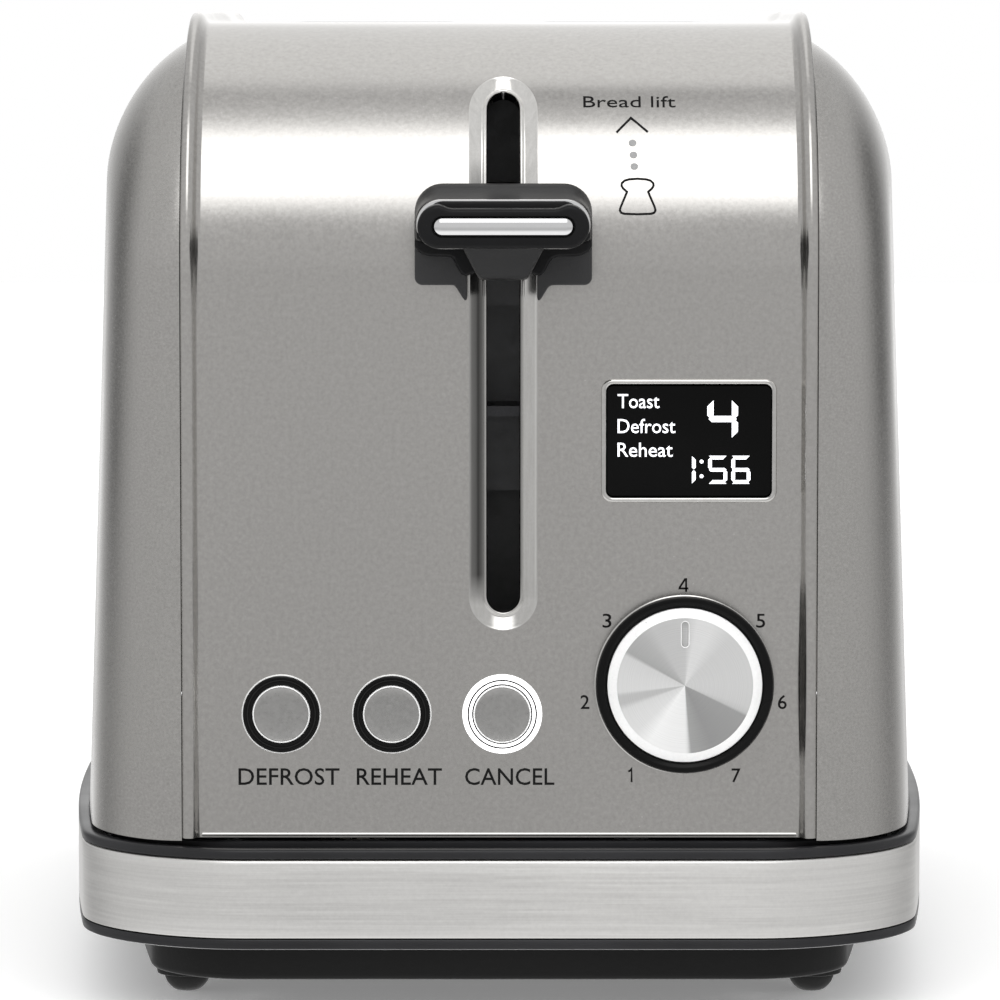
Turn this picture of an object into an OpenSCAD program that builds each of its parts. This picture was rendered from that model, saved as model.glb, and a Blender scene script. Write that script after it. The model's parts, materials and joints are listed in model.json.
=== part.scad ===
// Two-slice pop-up toaster with its controls on the narrow end.
// Origin: centre of the footprint, on the surface it stands on. The control end faces -Y.

/* [Body] */
// Width of the base band at mid length
base_w = 178; // [174:1:184]
// Length of the base band
base_l = 272; // [264:2:284]
// Height of the flat top of the centre wrap
top_z = 194.1; // [190:0.5:200]
// Radius that turns the front and back panels into the top
wrap_r = 48; // [40:1:52]
// Half width of the centre wrap, beads included
wrap_hw = 61.7; // [60:0.1:63]
// Thickness of the steel sheets
sheet_t = 0.8; // [0.6:0.1:1.2]

/* [Bread slots] */
// Width of each bread slot
slot_w = 34; // [30:1:36]
// Length of each bread slot
slot_l = 146; // [130:2:148]
// Distance from the middle to the centre of each bread slot
slot_x = 27; // [26:0.5:28]

/* [Lever] */
// Height of the lever handle's centre at rest
lever_z = 155.7; // [152:0.5:158]
// Distance that the handle stands out from the front panel
lever_reach = 29; // [24:1:34]
// Width of the lever handle
lever_w = 32.5; // [28:0.5:36]

/* [Controls] */
// Sideways place of the browning knob and the display
knob_x = 36; // [34:0.5:38]
// Height of the knob's centre
knob_z = 66; // [62:0.5:68]
// Radius of the knob's black skirt
knob_r = 17.3; // [15:0.1:18]
// Height of the display's centre
display_z = 113.2; // [108:0.5:118]
// Height of the row of buttons
button_z = 59.9; // [56:0.5:62]
// Radius of a button cap
button_r = 5.6; // [5:0.1:5.8]

/* [Hidden] */
$fn = 64;

steel = "#b4b3b1";
black = "#1b1b1c";

// Heights of the base, from the ground up
boss_z = 3.4;
pan_z = 6.4;
pan_inset = 12.4;
pan_t = 2;
foot_x = 62.8;
foot_y = 96;
foot_r = 4.6;
flange_z = 14.4;
floor_z = 16.4;
band_z0 = 16.6;
band_z1 = 32.0;
lip_z = 34.1;
wrap_z0 = 35.7;
shell_z0 = 35;

// Base outline: half sizes, corner radius, and how far the long sides bow out
plan_hy = base_l / 2;
plan_bow = 9.7;
plan_hx = base_w / 2 - plan_bow;
plan_r = 30;
tub_in = 3;
ledge_out = 6.3;
ledge_in = 9;
ledge_z = 28;

// Centre wrap
panel_y = plan_hy - 6;
arc_y = panel_y - wrap_r;
arc_z = top_z - wrap_r;
bead_w = 3;
bead_rise = 2.1;
bead_x = wrap_hw - bead_w / 2;

// The crumb tray's grip stands out at the back and the lever at the front
tray_grip = 5;
mid_y = (lever_reach - 6 - tray_grip) / 2;

// Side shells
seam_x = wrap_hw + 0.2;
shell_hx = 86.4;
shell_taper = 0.033;
shell_bow = 5.2;
shell_bow_y = panel_y - 25;
shell_t = 1.0;
corner_front = 26;
corner_top = 32;
seam_angle_top = 27;
spine_y = 70;

// Lever slot in the front panel
lever_x = 0.8;
slot_half = 3.15;
bezel_half = 6.7;
slot_z0 = 79.8;
slot_z1 = 181.3;

// Bread compartment
slot_y = 4;
chamber_y0 = slot_y - slot_l / 2 - 5;
chamber_y1 = slot_y + slot_l / 2 + 5;
rack_z = 108;
cage_inner = slot_x - 15.5;
cage_outer = slot_x + 15.5;
cage_wire = 0.9;
cage_z0 = 34;
cage_z1 = 178;
board_inner = 6.1;
board_outer = 47.5;
board_t = 0.8;
board_z0 = 46;
board_z1 = 172;
wire_r = 0.4;
chassis_t = 1;
chassis_hw = 52;
chassis_top = 188;
shield_t = 0.6;

// Lever mechanism
rod_gap = 14.8;
rod_y = -96;
rod_r = 2.5;
rod_fit = 0.05;
carriage_y = -84;
arm_t = 3;
arm_h = 7;
magnet_top = 45.5;
magnet_y0 = -99;
magnet_y1 = -88;
carriage_z0 = 138;
carriage_z1 = 162;
yoke_z0 = 100;
yoke_z1 = 108;
spring_top = 184;
spring_x = 24;
spring_y = -88;

// Controls
button_x = [-42.4, -20.9, 0.6];
button_hole = 6.9;
ring_r = 7.65;
glass_w = 31.9;
glass_h = 21.5;
bezel_w = 34.1;
bezel_h = 24.0;
display_x = knob_x + 0.8;
shaft_r = 3;
frame_y0 = -panel_y + 2.0;
frame_y1 = frame_y0 + 1.8;
board_y = -116;
pcb_t = 1.6;
cap_depth = 4.2;
cap_chamfer = 1.8;
cap_bevel = 0.9;
skirt_face = 4.6;

screw_r = 1.5;
screw_places = [for (x = [-50, 50], y = [-104, 0, 104]) [x, y]];
gland_x = -42;
gland_z = 50;
gland_bore = 3.6;
tray_hw = 50;

// Moves a part from base-centred coordinates to the part's own origin
module placed() {
    translate([0, mid_y, 0]) children();
}

// Extrusions centred on X and along Y
module along_x(length) {
    rotate([90, 0, 90]) linear_extrude(length, center = true) children();
}

module along_y(y0, y1) {
    translate([0, y1, 0]) rotate([90, 0, 0]) linear_extrude(y1 - y0) children();
}

// Box given by its lowest and highest corners
module box(low, high) {
    translate(low) cube(high - low);
}

// Cylinder whose axis runs along Y
module pin_y(x, z, y0, y1, r) {
    translate([x, y1, z]) rotate([90, 0, 0]) cylinder(h = y1 - y0, r = r);
}

// Upright two-dimensional rectangle with round corners, in X and Z
module round_rect(x, z, w, h, r) {
    translate([x, z]) {
        square([w - 2 * r, h], center = true);
        square([w, h - 2 * r], center = true);
        for (sx = [-1, 1], sz = [-1, 1])
            translate([sx * (w / 2 - r), sz * (h / 2 - r)]) circle(r);
    }
}

// Upright slot with round ends between two heights
module stadium(x, z0, z1, half) {
    translate([x - half, z0 + half]) square([2 * half, z1 - z0 - 2 * half]);
    for (z = [z0 + half, z1 - half]) translate([x, z]) circle(half);
}

// Plan of the base: a rounded rectangle whose long sides bow out
function plan_corner(q, hx, hy, r, n) = [
    for (i = [0:n])
        let (a = (q + i / n) * 90, sx = q == 0 || q == 3 ? 1 : -1, sy = q < 2 ? 1 : -1)
        [sx * (hx - r) + r * cos(a), sy * (hy - r) + r * sin(a)]
];
function plan_side(s, hx, hy, r, m) = [
    for (i = [1:m - 1]) [s * hx, s * (hy - r) * (2 * i / m - 1)]
];
function plan_points(inset) =
    let (hx = plan_hx - inset, hy = plan_hy - inset, r = plan_r - inset)
    let (raw = concat(
        plan_corner(0, hx, hy, r, 10), plan_corner(1, hx, hy, r, 10), plan_side(-1, hx, hy, r, 12),
        plan_corner(2, hx, hy, r, 10), plan_corner(3, hx, hy, r, 10), plan_side(1, hx, hy, r, 12)))
    [for (p = raw) [p.x * (1 + plan_bow / hx * (1 - pow(p.y / hy, 2))), p.y]];

module plan_slab(inset, z0, z1) {
    translate([0, 0, z0]) linear_extrude(z1 - z0) polygon(plan_points(inset));
}

module plan_ring(outer, inner, z0, z1) {
    difference() {
        plan_slab(outer, z0, z1);
        plan_slab(inner, z0 - 1, z1 + 1);
    }
}

// Side outline of the centre wrap in Y and Z
module wrap_outline(inset) {
    r = wrap_r - inset;
    translate([-panel_y + inset, wrap_z0 - inset])
        square([2 * (panel_y - inset), arc_z - wrap_z0 + inset]);
    translate([-arc_y, arc_z]) square([2 * arc_y, r]);
    for (s = [-1, 1]) translate([s * arc_y, arc_z]) circle(r, $fn = 96);
}

// Cross-section of the raised edge bead: X across, the sheet's outward normal up
module bead_section() {
    translate([0, bead_rise - bead_w / 2]) circle(bead_w / 2);
    translate([-bead_w / 2, -sheet_t]) square([bead_w, sheet_t + bead_rise - bead_w / 2]);
}

module bead(x) {
    translate([x, 0, top_z]) rotate([90, 0, 0])
        linear_extrude(2 * arc_y, center = true) bead_section();
    translate([x, -panel_y, wrap_z0]) linear_extrude(arc_z - wrap_z0)
        mirror([0, 1]) bead_section();
    translate([x, panel_y, wrap_z0]) linear_extrude(arc_z - wrap_z0) bead_section();
    for (end = [-1, 1])
        translate([x, end * arc_y, arc_z]) rotate([0, 90, 0])
            rotate([0, 0, end > 0 ? 90 : 180])
                rotate_extrude(angle = 90, $fn = 96)
                    translate([wrap_r, 0]) rotate(-90) bead_section();
}

module centre_wrap() color(steel) placed() {
    difference() {
        along_x(2 * wrap_hw) difference() {
            wrap_outline(0);
            wrap_outline(sheet_t);
            translate([-arc_y, wrap_z0 - 1]) square([2 * arc_y, 2]);
        }
        for (s = [-1, 1])
            translate([s * slot_x, slot_y, top_z])
                cube([slot_w, slot_l, 20], center = true);
        along_y(-panel_y - 5, -arc_y)
            stadium(lever_x, slot_z0 - 1.4, slot_z1 + 1.4, slot_half + 1.4);
        along_y(-panel_y - 5, -panel_y + 5)
            round_rect(display_x, display_z, glass_w + 0.6, glass_h + 0.6, 2);
        for (x = button_x) pin_y(x, button_z, -panel_y - 5, -panel_y + 5, button_hole + 0.1);
        pin_y(knob_x, knob_z, -panel_y - 5, -panel_y + 5, shaft_r + 1);
        pin_y(gland_x, gland_z, panel_y - 5, panel_y + 5, gland_bore + 2.1);
    }
    for (s = [-1, 1]) bead(s * bead_x);
}

// Side shell: every point lies at a station along the wrap's side outline (front bottom, over
// the top, to the back bottom) and at a row that runs from the seam down to the flat side.
rise = arc_z - shell_z0;
turn = wrap_r * PI / 2;
stations = concat(
    [for (i = [0:5]) i / 6 * rise],
    [for (i = [0:9]) rise + i / 10 * turn],
    [for (i = [0:9]) rise + turn + i / 10 * 2 * arc_y],
    [for (i = [0:9]) rise + turn + 2 * arc_y + i / 10 * turn],
    [for (i = [0:6]) rise + 2 * turn + 2 * arc_y + i / 6 * rise]);
path_end = 2 * rise + 2 * turn + 2 * arc_y;

// Angle of the outline's outward normal: 180 at the front, 90 on top, 0 at the back
function normal_at(s) =
    s < rise ? 180 :
    s < rise + turn ? 180 - (s - rise) / wrap_r * 180 / PI :
    s < rise + turn + 2 * arc_y ? 90 :
    s < rise + 2 * turn + 2 * arc_y ? 90 - (s - rise - turn - 2 * arc_y) / wrap_r * 180 / PI : 0;
// Point of the outline, set in by d, as [y, z]
function path_at(s, d) =
    let (a = normal_at(s), r = wrap_r - d)
    s < rise ? [-panel_y + d, shell_z0 + s] :
    s < rise + turn ? [-arc_y + r * cos(a), arc_z + r * sin(a)] :
    s < rise + turn + 2 * arc_y ? [-arc_y + s - rise - turn, top_z - d] :
    s < path_end - rise ? [arc_y + r * cos(a), arc_z + r * sin(a)] :
    [panel_y - d, shell_z0 + path_end - s];
// Half width of the flat side at a height and a place along the length
function side_x(y, z) =
    shell_hx - shell_taper * (z - shell_z0) - shell_bow * pow(y / shell_bow_y, 2);

corner_rows = 10;
side_rows = 5;
function shell_point(s, row, skin) =
    let (k = pow(sin(normal_at(s)), 2),
         a0 = seam_angle_top * k,
         depth = corner_front + (corner_top - corner_front) * k,
         t = min(row / corner_rows, 1),
         a = a0 + (90 - a0) * t,
         p = path_at(s, depth * (1 - cos(a)) + skin),
         w = max(row - corner_rows, 0) / side_rows,
         q = [p.x + ((2 * s / path_end - 1) * spine_y - p.x) * w, p.y + (shell_z0 - p.y) * w],
         across = 1 - (1 - sin(a)) / (1 - sin(a0)))
    [seam_x + (side_x(q.x, q.y) - skin - seam_x) * across, q.x, q.y];

module shell_body() {
    nv = len(stations);
    nu = corner_rows + side_rows;
    skin_points = [
        for (skin = [0, shell_t], s = stations, row = [0:nu])
            let (p = shell_point(s, row, skin)) [-p.x, p.y, p.z]
    ];
    function id(skin, v, u) = (skin * nv + v) * (nu + 1) + u;
    function quad(a, b, c, d) = [[a, c, b], [a, d, c]];
    faces = concat(
        [for (v = [0:nv - 2], u = [0:nu - 1])
            each quad(id(0, v, u), id(0, v, u + 1), id(0, v + 1, u + 1), id(0, v + 1, u))],
        [for (v = [0:nv - 2], u = [0:nu - 1])
            each quad(id(1, v, u), id(1, v + 1, u), id(1, v + 1, u + 1), id(1, v, u + 1))],
        [for (v = [0:nv - 2])
            each quad(id(0, v, 0), id(0, v + 1, 0), id(1, v + 1, 0), id(1, v, 0))],
        [for (u = [0:nu - 1])
            each quad(id(0, 0, u), id(1, 0, u), id(1, 0, u + 1), id(0, 0, u + 1))],
        [for (u = [0:nu - 1])
            each quad(id(0, nv - 1, u), id(0, nv - 1, u + 1), id(1, nv - 1, u + 1),
                      id(1, nv - 1, u))],
        [for (v = [0:nv - 2])
            each quad(id(0, v, nu), id(1, v, nu), id(1, v + 1, nu), id(0, v + 1, nu))]);
    polyhedron(skin_points, faces);
}

module side_shell_left() color(steel) placed() shell_body();
module side_shell_right() color(steel) mirror([1, 0, 0]) side_shell_left();

// Opening at the back through which the crumb tray slides out
module tray_opening() {
    box([-tray_hw - 1, 0, floor_z], [tray_hw + 1, plan_hy + 1, floor_z + 7.6]);
}

module base_band() color(steel) placed() {
    difference() {
        plan_ring(0, 0.9, band_z0, band_z1);
        tray_opening();
    }
}

// Tub with the lip above the band and, inside a dark groove, the ledge under the shells
module base_tub() color(black) placed() {
    difference() {
        union() {
            plan_ring(1, tub_in, floor_z, band_z1 + 0.1);
            plan_ring(0, tub_in, band_z1 + 0.1, lip_z);
            plan_ring(tub_in, ledge_in, ledge_z, ledge_z + 2);
            plan_ring(ledge_out, ledge_in, ledge_z + 1, shell_z0 - 0.1);
        }
        tray_opening();
    }
}

// Floor plate under the tub; its edge shows as the dark flange below the band
module base_floor() color(black) placed() {
    difference() {
        plan_slab(0, flange_z, floor_z);
        for (p = screw_places)
            translate([p.x, p.y, flange_z - 1]) cylinder(h = 4, r = screw_r + 0.15);
    }
}

module base_pan() color(black) placed() {
    difference() {
        plan_slab(pan_inset, pan_z, flange_z);
        plan_slab(pan_inset + pan_t, pan_z + pan_t, flange_z + 1);
        for (i = [-3:3], s = [-1, 1])
            translate([s * 22, i * 26, pan_z]) cube([30, 6, 8], center = true);
        for (p = screw_places)
            translate([p.x, p.y, 0]) cylinder(h = pan_z + 3, r = screw_r + 0.15);
    }
    for (x = [-foot_x, foot_x], y = [-foot_y, foot_y])
        translate([x, y, boss_z]) cylinder(h = pan_z - boss_z, r = foot_r + 1.5);
}

module rubber_feet() color("#222222") placed() {
    for (x = [-foot_x, foot_x], y = [-foot_y, foot_y]) translate([x, y, 0]) rotate_extrude()
        intersection() {
            translate([0, 4.8]) circle(5.2);
            square([foot_r, boss_z]);
        }
}

module base_screws() color("silver") placed() {
    for (p = screw_places) translate([p.x, p.y, pan_z - 1.6]) {
        cylinder(h = 1.6, r = 3);
        cylinder(h = 11, r = screw_r);
    }
}

// Sunken rim of the lever slot, just under the sheet of the centre wrap
module slot_bezel() color(steel) placed() {
    difference() {
        along_x(40) difference() {
            wrap_outline(sheet_t);
            wrap_outline(sheet_t + 1);
            translate([-arc_y, 0]) square([2 * plan_hy, top_z]);
            translate([-plan_hy, 0]) square([40, slot_z0 - 6]);
        }
        difference() {
            along_y(-plan_hy, -60) translate([-40, 0]) square([80, top_z]);
            along_y(-plan_hy - 1, -59)
                stadium(lever_x, slot_z0 - 4.6, slot_z1 + 3, bezel_half + 1);
        }
        along_y(-plan_hy, -60) stadium(lever_x, slot_z0, slot_z1, slot_half);
    }
}

// Moulded frame behind the front panel: carries the controls and hides the inside of the slot
module control_frame() color(black) placed() {
    posts = concat([for (x = [21, 53], z = [48, 128]) [x, z]],
                   [for (x = [-50, 8], z = [50, 70]) [x, z]]);
    difference() {
        union() {
            along_y(frame_y0, frame_y1)
                translate([-56, 42]) square([112, arc_z - 44]);
            for (p = posts) pin_y(p.x, p.y, frame_y1, board_y, 2.4);
            for (s = [-1, 1])
                box([lever_x + s * 6 - 0.6, frame_y1, slot_z0 - 4],
                    [lever_x + s * 6 + 0.6, -108, arc_z - 2]);
        }
        along_y(-plan_hy, -100)
            stadium(lever_x, slot_z0 - 6, slot_z1, slot_half + 0.2);
        along_y(frame_y0 - 1, frame_y1 + 1)
            round_rect(display_x, display_z, glass_w + 1, glass_h + 1, 1);
        for (x = button_x) pin_y(x, button_z, frame_y0 - 1, frame_y1 + 1, button_hole + 0.3);
        pin_y(knob_x, knob_z, frame_y0 - 1, frame_y1 + 1, 5.4);
    }
}

// Lever handle: a rounded bar in front, a winged plate near the panel and a bridge between
lever_front = -panel_y - lever_reach;
plate_y0 = -panel_y - 10;
plate_y1 = -panel_y - 2;
insert_w = 26.7;
insert_h = 3.7;
module lever_handle() color(black) placed() {
    wing = [[0, 7.6], [13.5, 7.6], [16, 6], [17, 3], [17, -9.6], [15.5, -11.8],
            [9.2, -11.8], [6.6, -14.8], [6.6, -8], [0, -8]];
    difference() {
        union() {
            along_y(lever_front + 0.3, lever_front + 9)
                round_rect(lever_x, lever_z, lever_w, 8.3, 4.1);
            along_y(plate_y0, plate_y1) translate([lever_x, lever_z]) {
                polygon(wing);
                mirror([1, 0]) polygon(wing);
            }
            translate([lever_x, 0, lever_z]) along_x(26)
                polygon([[lever_front + 8, -4], [lever_front + 8, 4.1], [plate_y0 + 1, 7.2],
                         [plate_y0 + 1, -5]]);
            translate([lever_x, 0, lever_z]) along_x(13)
                polygon([[lever_front + 3, -4], [plate_y0 + 1, -4], [plate_y0 + 1, -9.6],
                         [lever_front + 12, -10]]);
        }
        along_y(lever_front - 1, lever_front + 1.5)
            round_rect(lever_x, lever_z, insert_w + 0.2, insert_h + 0.2, insert_h / 2);
        box([lever_x - arm_t / 2 - 0.02, plate_y0 - 6, lever_z - arm_h / 2 - 0.02],
            [lever_x + arm_t / 2 + 0.02, plate_y1 + 1, lever_z + arm_h / 2 + 0.02]);
    }
}

module lever_insert() color("#e8e8e8") placed() {
    along_y(lever_front, lever_front + 1.5)
        round_rect(lever_x, lever_z, insert_w, insert_h, insert_h / 2 - 0.1);
}

// Carriage: slides on the two rods and carries the handle, the racks and the armature
module lever_carriage() color("#9a9a98") placed() {
    difference() {
        union() {
            for (s = [-1, 1]) translate([lever_x + s * rod_gap, rod_y, carriage_z0])
                cylinder(h = carriage_z1 - carriage_z0, r = 2 * rod_r);
            box([lever_x - rod_gap + 3, rod_y - 4, carriage_z0],
                [lever_x + rod_gap - 3, carriage_y, carriage_z1]);
            box([lever_x - rod_gap, carriage_y - 2, yoke_z0],
                [lever_x + rod_gap, carriage_y + 2, carriage_z1]);
            box([-slot_x - 4, carriage_y, yoke_z0], [slot_x + 4, carriage_y + 2, yoke_z1]);
            box([spring_x - 4, spring_y - 4, yoke_z1 - 4],
                [spring_x + 4, carriage_y + 1, yoke_z1]);
            box([lever_x - arm_t / 2, plate_y0 - 4, lever_z - arm_h / 2],
                [lever_x + arm_t / 2, rod_y, lever_z + arm_h / 2]);
        }
        for (s = [-1, 1]) translate([lever_x + s * rod_gap, rod_y, carriage_z0 - 8])
            cylinder(h = carriage_z1 - carriage_z0 + 16, r = rod_r + rod_fit);
    }
}

module armature_plate() color("#8f8f8f") placed() {
    box([lever_x - 9.8, -101, 116], [lever_x + 9.8, carriage_y - 2, 118]);
}

module bread_rack(side) placed() {
    box([side * slot_x - 1.5, carriage_y + 2, yoke_z0 + 1],
        [side * slot_x + 1.5, chamber_y1 - 6, rack_z - 1]);
    for (i = [0:8])
        translate([side * slot_x, slot_y + (i - 4) * 17, rack_z - 1]) rotate([0, 90, 0])
            cylinder(h = 18, r = 1, center = true);
}
module bread_rack_left() color("silver") bread_rack(-1);
module bread_rack_right() color("silver") bread_rack(1);

module guide_rods() color("#c9c9c9") placed() {
    for (s = [-1, 1]) translate([lever_x + s * rod_gap, rod_y, floor_z])
        cylinder(h = spring_top + 2 - floor_z, r = rod_r);
}

module rod_bracket() color("#9a9a98") placed() {
    difference() {
        box([-24, -102, spring_top], [32, chamber_y0 - 1, spring_top + 2]);
        for (s = [-1, 1]) translate([lever_x + s * rod_gap, rod_y, spring_top - 1])
            cylinder(h = 4, r = rod_r + rod_fit);
    }
}

// Lift spring: a coil between the bracket and the tab of the carriage
module lift_spring() color("#777777") placed() {
    turns = 14;
    steps = 14;
    sides = 6;
    wire = 0.55;
    coil = 3.4;
    z0 = yoke_z1 + 0.6;
    z1 = spring_top - 0.6;
    count = turns * steps;
    points = [
        for (i = [0:count], j = [0:sides - 1])
            let (a = i * 360 / steps, b = j * 360 / sides, r = coil + wire * cos(b))
            [spring_x + r * cos(a), spring_y + r * sin(a), z0 + (z1 - z0) * i / count + wire * sin(b)]
    ];
    faces = concat(
        [for (i = [0:count - 1], j = [0:sides - 1])
            let (k = (j + 1) % sides)
            each [[i * sides + j, (i + 1) * sides + j, (i + 1) * sides + k],
                  [i * sides + j, (i + 1) * sides + k, i * sides + k]]],
        [[for (j = [0:sides - 1]) j], [for (j = [0:sides - 1]) count * sides + sides - 1 - j]]);
    polyhedron(points, faces);
}

module magnet_core() color("#6f6f6f") placed() {
    for (x = [-8.8, -2.5, 4.8])
        box([lever_x + x, magnet_y0, 22],
            [lever_x + x + (x == -2.5 ? 5 : 4), magnet_y1, magnet_top]);
    box([lever_x - 8.8, magnet_y0, floor_z], [lever_x + 8.8, magnet_y1, 22]);
}

module magnet_coil() color("#b5651d") placed() {
    difference() {
        box([lever_x - 4.6, magnet_y0 - 2, 23], [lever_x + 4.6, magnet_y1 + 2, 43]);
        box([lever_x - 2.6, magnet_y0 - 0.1, 22], [lever_x + 2.6, magnet_y1 + 0.1, 44]);
    }
}

module mains_switch() color("#e6e1d5") placed() {
    box([-36, -100, floor_z], [-23, -88, 30]);
    for (x = [-33, -29.5, -26]) box([x, -97, 30], [x + 1, -91, 34]);
}

// Wire cage that steadies the bread; it closes on the slice as the lever goes down
module guide_cage(x) placed() {
    y0 = chamber_y0 + 3;
    y1 = chamber_y1 - 3;
    for (i = [0:8]) translate([x, y0 + 2 + i * (y1 - y0 - 4) / 8, cage_z0])
        cylinder(h = cage_z1 - cage_z0, r = cage_wire, $fn = 24);
    for (z = [cage_z0 + 2, cage_z1 - 2])
        box([x - 0.8, y0, z - 1.2], [x + 0.8, y1, z + 1.2]);
}
module guide_cage_left_outer() color("silver") guide_cage(-cage_outer);
module guide_cage_left_inner() color("silver") guide_cage(-cage_inner);
module guide_cage_right_inner() color("silver") guide_cage(cage_inner);
module guide_cage_right_outer() color("silver") guide_cage(cage_outer);

module heater_board(x) placed() {
    box([x, chamber_y0 + 0.1, board_z0], [x + board_t, chamber_y1 - 0.1, board_z1]);
}
module heater_board_left_outer() color("#cbbfa4") heater_board(-board_outer - board_t);
module heater_board_left_inner() color("#cbbfa4") heater_board(-board_inner - board_t);
module heater_board_right_inner() color("#cbbfa4") heater_board(board_inner);
module heater_board_right_outer() color("#cbbfa4") heater_board(board_outer);

// Flat heating wires, across the bread side of every board
module heater_wires() color("#a0522d") placed() {
    for (x = [board_inner + board_t, board_outer - 2 * wire_r, -board_inner - board_t - 2 * wire_r,
              -board_outer])
        for (i = [0:11])
            box([x, chamber_y0 + 6, board_z0 + 7 + i * 10],
                [x + 2 * wire_r, chamber_y1 - 6, board_z0 + 8.4 + i * 10]);
}

module chassis_front() color("#a9a9a6") placed() {
    difference() {
        box([-chassis_hw, chamber_y0 - chassis_t, floor_z],
            [chassis_hw, chamber_y0, chassis_top]);
        for (s = [-1, 1])
            box([s * slot_x - 3.5, chamber_y0 - 3, 25], [s * slot_x + 3.5, chamber_y0 + 3, 136]);
    }
}

module chassis_rear() color("#a9a9a6") placed() {
    difference() {
        box([-chassis_hw - 3, chamber_y1, floor_z],
            [chassis_hw + 3, chamber_y1 + chassis_t, chassis_top]);
        box([-tray_hw - 1, chamber_y1 - 2, floor_z - 1], [tray_hw + 1, chamber_y1 + 3, 24.5]);
    }
}

module heat_shield(x) placed() {
    box([x, chamber_y0 - chassis_t, 26], [x + shield_t, chamber_y1, chassis_top - 2]);
}
module heat_shield_left() color("silver") heat_shield(-chassis_hw - 0.1 - shield_t);
module heat_shield_right() color("silver") heat_shield(chassis_hw + 0.1);

// Collar that guides the bread through the top
module slot_liner(side) placed() {
    z1 = top_z - sheet_t;
    difference() {
        box([side * slot_x - slot_w / 2 - 0.8, slot_y - slot_l / 2 - 0.8, 181],
            [side * slot_x + slot_w / 2 + 0.8, slot_y + slot_l / 2 + 0.8, z1]);
        box([side * slot_x - slot_w / 2, slot_y - slot_l / 2, 180],
            [side * slot_x + slot_w / 2, slot_y + slot_l / 2, z1 + 1]);
    }
}
module slot_liner_left() color(steel) slot_liner(-1);
module slot_liner_right() color(steel) slot_liner(1);

module display_bezel() color("#d8d8d8") placed() {
    along_y(-panel_y - 0.7, -panel_y) difference() {
        round_rect(display_x, display_z, bezel_w, bezel_h, 2.2);
        round_rect(display_x, display_z, glass_w, glass_h, 1.2);
    }
}

module display_window() color("#0a0a0a") placed() {
    along_y(-panel_y - 0.4, -panel_y + 1)
        round_rect(display_x, display_z, glass_w - 0.2, glass_h - 0.2, 1.1);
}

module display_module() color("#30343a") placed() {
    along_y(-panel_y + 1, -panel_y + 6)
        round_rect(display_x, display_z, glass_w - 0.4, glass_h - 0.4, 1);
    for (sx = [-1, 1], sz = [-1, 1])
        pin_y(display_x + sx * 12, display_z + sz * 8, -panel_y + 6, board_y, 0.6);
}

module control_board() color("#20603a") placed() {
    box([17, board_y, 45], [57, board_y + pcb_t, 131]);
}

module encoder() color("#8a8d90") placed() {
    difference() {
        union() {
            box([knob_x - 6.5, board_y - 5, knob_z - 6.5], [knob_x + 6.5, board_y, knob_z + 6.5]);
            pin_y(knob_x, knob_z, board_y - 11, board_y - 4, 5);
        }
        pin_y(knob_x, knob_z, board_y - 12, board_y - 1, shaft_r + 0.05);
    }
}

// Browning knob: spun cap with a bevelled edge and a pointer notch, in a black skirt
cap_r = knob_r - 2.3;
cap_face = -panel_y - 5.2;
module knob_cap() color("#d6d6d6") placed() {
    difference() {
        translate([knob_x, cap_face + cap_depth, knob_z]) rotate([90, 0, 0]) rotate_extrude()
            polygon([[0, 0], [cap_r, 0], [cap_r, cap_depth - cap_bevel],
                     [cap_r - cap_chamfer, cap_depth], [0, cap_depth]]);
        along_y(cap_face - 1, cap_face + 0.7)
            stadium(knob_x, knob_z + 7.5, knob_z + 12.5, 0.8);
        pin_y(knob_x, knob_z, cap_face + 2.2, cap_face + 5, shaft_r + 0.02);
    }
}

module knob_ring() color(black) placed() {
    difference() {
        pin_y(knob_x, knob_z, -panel_y - skirt_face, -panel_y - 0.4, knob_r);
        pin_y(knob_x, knob_z, cap_face, cap_face + cap_depth, cap_r + 0.05);
        pin_y(knob_x, knob_z, -panel_y - 5, -panel_y, shaft_r + 0.02);
    }
}

module knob_shaft() color("silver") placed() {
    pin_y(knob_x, knob_z, cap_face + 2.2, board_y - 1.5, shaft_r);
}

// Push buttons: the cap slides in its ring and its stem reaches towards the switch
module button_cap(i) placed() {
    pin_y(button_x[i], button_z, -panel_y - 1, -panel_y + 2, button_r);
    pin_y(button_x[i], button_z, -panel_y + 1.9, -panel_y + 9.7, 2.5);
}

module button_ring(i) placed() {
    difference() {
        union() {
            pin_y(button_x[i], button_z, -panel_y - 0.9, -panel_y, ring_r);
            pin_y(button_x[i], button_z, -panel_y - 0.9, -panel_y + 4, button_hole);
        }
        pin_y(button_x[i], button_z, -panel_y - 2, -panel_y + 5, button_r + 0.3);
    }
}
module defrost_cap() color("#bcbcbc") button_cap(0);
module reheat_cap() color("#bcbcbc") button_cap(1);
module cancel_cap() color("#bcbcbc") button_cap(2);
module defrost_ring() color(black) button_ring(0);
module reheat_ring() color(black) button_ring(1);
module cancel_ring() color("white") button_ring(2);

module button_board() color("#20603a") placed() {
    box([-54, board_y, 46], [12, board_y + pcb_t, 74]);
    for (x = button_x)
        box([x - 3, board_y - 2.3, button_z - 3], [x + 3, board_y, button_z + 3]);
}

module power_board() color("#20603a") placed() {
    box([-56, -123, floor_z + 2], [-20, -103, floor_z + 3.6]);
    box([-54, -121, floor_z + 3.6], [-38, -107, 34]);
    box([-34, -121, floor_z + 3.6], [-24, -109, 30]);
    for (x = [-54, -22], y = [-121, -105])
        translate([x, y, floor_z]) cylinder(h = 2, r = 1.5);
}

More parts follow.
